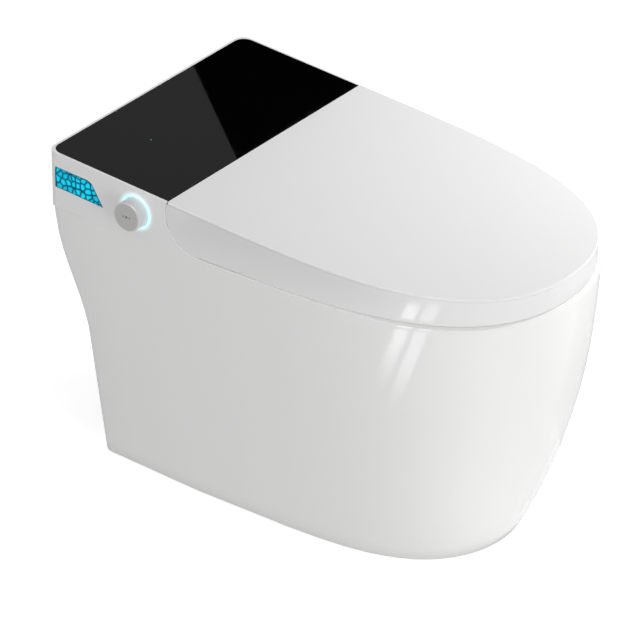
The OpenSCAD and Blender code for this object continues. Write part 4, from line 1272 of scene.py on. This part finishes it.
@dataclass
class Studio:
    """Floor, light and camera."""

    camera_at: Triple = (-5.0839, -3.8775, 3.8941)
    right: Triple = (0.60716, -0.79458, 0.0)
    up: Triple = (0.39512, 0.30193, 0.86759)
    back: Triple = (-0.68937, -0.52677, 0.49727)
    lens: float = 319.14
    fill: float = 0.70
    glass_back: Triple = (0.0, 0.29, 0.472)
    glass_tilt: float = 3.72
    glass_side: float = 0.26
    glass_front: float = 0.092
    glass_rear: float = 0.33
    grey_edge: Tuple[Pair, Pair, Pair] = ((0.1297, 0.33), (0.098, 0.29), (-0.060, 0.0905))
    card_height: float = 1.2
    grey: float = 0.45
    floor_seen: float = 0.54
    floor_gloss: float = 0.10
    floor_level: float = 0.80
    rim_light: float = 6.5
    rim_card: Tuple[Triple, ...] = ((-1.60, 1.50, 1.00), (-0.60, 1.50, 2.00), (-0.10, -0.90, 2.10),
                                    (-1.00, -1.10, 1.30))
    edge_card: Tuple[Triple, ...] = ((0.215, -0.50, 0.01), (0.90, -0.75, 0.01), (2.20, 1.00, 0.01),
                                     (1.20, 1.60, 0.01), (0.215, 0.30, 0.01))
    edge_fade: Pair = (0.22, 0.40)
    edge_level: float = 0.66
    shade_height: float = 0.386
    shade_fade: Pair = (-0.29, -0.20)
    shade: Tuple[Pair, ...] = ((-0.33, -0.60), (-0.165, -0.60), (-0.165, -0.25), (-0.205, -0.10),
                               (-0.205, 0.12), (-0.33, 0.12))

    def camera(self) -> None:
        """Sets the camera where the photograph was taken from."""
        data = bpy.data.cameras.new("view")
        data.lens = self.lens
        data.sensor_width = 36.0
        data.clip_start, data.clip_end = 0.05, 60.0
        eye = placed("view", data)
        turn = Matrix((self.right, self.up, self.back)).transposed()
        eye.matrix_world = Matrix.Translation(self.camera_at) @ turn.to_4x4()
        bpy.context.scene.camera = eye

    def floor(self) -> None:
        """Lays a pale floor that the camera sees as white and that keeps a soft shadow."""
        form = bmesh.new()
        bmesh.ops.create_circle(form, cap_ends=True, segments=64, radius=14.0)
        ground = placed("floor", mesh_of(form, "floor"))
        made, tree, skin = bare_material("floor_paint", Base_Color=(0.86, 0.86, 0.86), Roughness=0.9,
                                         Specular_IOR_Level=0.1, Emission_Color=(1, 1, 1))
        path = put(tree, "ShaderNodeLightPath").outputs
        seen = Value(path["Is Camera Ray"]).through("MAXIMUM", path["Is Transmission Ray"])
        wire(skin, Emission_Strength=seen * self.floor_seen + Value(path["Is Glossy Ray"]) * self.floor_gloss)
        ground.data.materials.append(made)

    def world(self) -> None:
        """Fills the surroundings with soft light, seen as white by the camera and in gloss."""
        world = bpy.data.worlds.new("studio")
        world.use_nodes = True
        tree = world.node_tree
        tree.nodes.clear()
        path = put(tree, "ShaderNodeLightPath").outputs
        seen = Value(path["Is Camera Ray"]).through("MAXIMUM", path["Is Glossy Ray"])
        seen = seen.through("MAXIMUM", path["Is Transmission Ray"])
        glow = put(tree, "ShaderNodeBackground", Strength=seen * (1.0 - self.fill) + self.fill)
        put(tree, "ShaderNodeOutputWorld", Surface=glow.outputs[0])
        bpy.context.scene.world = world

    def lamp(self, name: str, at: Triple, aim: Triple, side: float, power: float) -> None:
        """Hangs a square soft box that neither the camera nor gloss sees.

        Args:
            name: The lamp's name.
            at: Its place.
            aim: The point that it faces.
            side: Its width and height.
            power: Its power in watts.
        """
        data = bpy.data.lights.new(name, "AREA")
        data.shape, data.size, data.energy = "SQUARE", side, power
        lamp = placed(name, data)
        lamp.location = at
        lamp.rotation_mode = "QUATERNION"
        lamp.rotation_quaternion = (Vector(aim) - Vector(at)).to_track_quat("-Z", "Y")
        lamp.visible_camera = lamp.visible_glossy = False

    def card(self, name: str, corners: Sequence[Triple], strength: float, fade: Optional[Pair] = None,
             start: float = 1.0) -> None:
        """Stands up a flat card that only gloss can see.

        Args:
            name: The card's name.
            corners: Its corners.
            strength: The light that it gives off, 0 for a black flag.
            fade: The x values between which the light goes from its start to its full strength, if it does.
            start: The light at the start.
        """
        mesh = bpy.data.meshes.new(name)
        mesh.from_pydata([tuple(c) for c in corners], [], [tuple(range(len(corners)))])
        made, tree, skin = bare_material(name + "_paint", Base_Color=(0, 0, 0), Specular_IOR_Level=0.0,
                                         Emission_Color=(1, 1, 1), Emission_Strength=strength)
        if fade is not None:
            place = put(tree, "ShaderNodeTexCoord").outputs["Object"]
            parts = put(tree, "ShaderNodeSeparateXYZ", Vector=place)
            ramp = put(tree, "ShaderNodeMapRange", interpolation_type="SMOOTHSTEP", Value=parts.outputs["X"],
                       From_Min=fade[0], From_Max=fade[1], To_Min=start, To_Max=strength)
            wire(skin, Emission_Strength=ramp.outputs["Result"])
        mesh.materials.append(made)
        card = placed(name, mesh)
        for flag in ("camera", "diffuse", "transmission", "volume_scatter", "shadow"):
            setattr(card, "visible_" + flag, False)

    def cards(self) -> None:
        """Places the two cards that the glass mirrors and the two that bring out the rim and the far side."""
        tilt = math.radians(self.glass_tilt)
        normal = Vector((0.0, -math.sin(tilt), math.cos(tilt)))
        origin, eye = Vector(self.glass_back), Vector(self.camera_at)
        mirrored = eye - 2.0 * (eye - origin).dot(normal) * normal

        def above(x: float, y: float) -> Vector:
            """Finds the place over the glass that the camera sees mirrored at a plan point.

            Args:
                x: The plan point's x.
                y: The plan point's y.

            Returns:
                The place, as high over the glass as the cards.
            """
            point = Vector((x, y, origin.z + math.tan(tilt) * (y - origin.y)))
            ray = (point - mirrored).normalized()
            return point + ray * (self.card_height / ray.dot(normal))

        far, top, low = self.grey_edge
        side, front, rear = self.glass_side, self.glass_front, self.glass_rear
        self.card("rim_card", self.rim_card, self.rim_light)
        self.card("edge_card", self.edge_card, self.edge_level, self.edge_fade, self.floor_level)
        self.card("grey_card", [above(*p) for p in ((-side, rear), far, top, low, (-side, front))], self.grey)
        self.card("black_flag", [above(*p) for p in (far, (side, rear), (side, front), low, top)], 0.0)

    def ribbons(self) -> None:
        """Lays the strips that the lid's skirt and the glazed wall mirror, with a shading card between."""
        self.card("shade_card", [(x, y, self.shade_height) for x, y in self.shade], self.floor_level,
                  self.shade_fade, 0.0)
        for ribbon in RIBBONS:
            self.card(ribbon.name, ribbon.corners(), ribbon.strength, ribbon.fade, self.floor_level)

    def build(self) -> None:
        """Sets up the whole studio."""
        self.camera()
        self.floor()
        self.world()
        self.lamp("right_box", at=(0.80, -0.61, 0.99), aim=(0.0, -0.2, 0.40), side=0.5, power=6.6)
        self.lamp("front_box", at=(-1.35, -3.1, 0.75), aim=(0.0, -0.2, 0.25), side=1.4, power=28.0)
        self.cards()
        self.ribbons()
        bpy.context.scene.view_settings.view_transform = "Standard"


def main() -> None:
    """Builds every sub-assembly in order, logs each new piece's face count and sets up the studio."""
    logging.basicConfig(level=logging.INFO, format="%(name)s: %(message)s")
    FRAME.update(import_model())
    for part in (CeramicBody(), RearHousing(), SideLight(), KnobSet(), LidSet(), SeatSet(), NozzleSet(),
                 InnerWorks()):
        made = part.build()
        part.dress()
        for piece in made:
            LOG.info("%s made %s, %d faces", type(part).__name__, piece.name, len(piece.data.polygons))
    Studio().build()


if __name__ == "__main__":
    main()
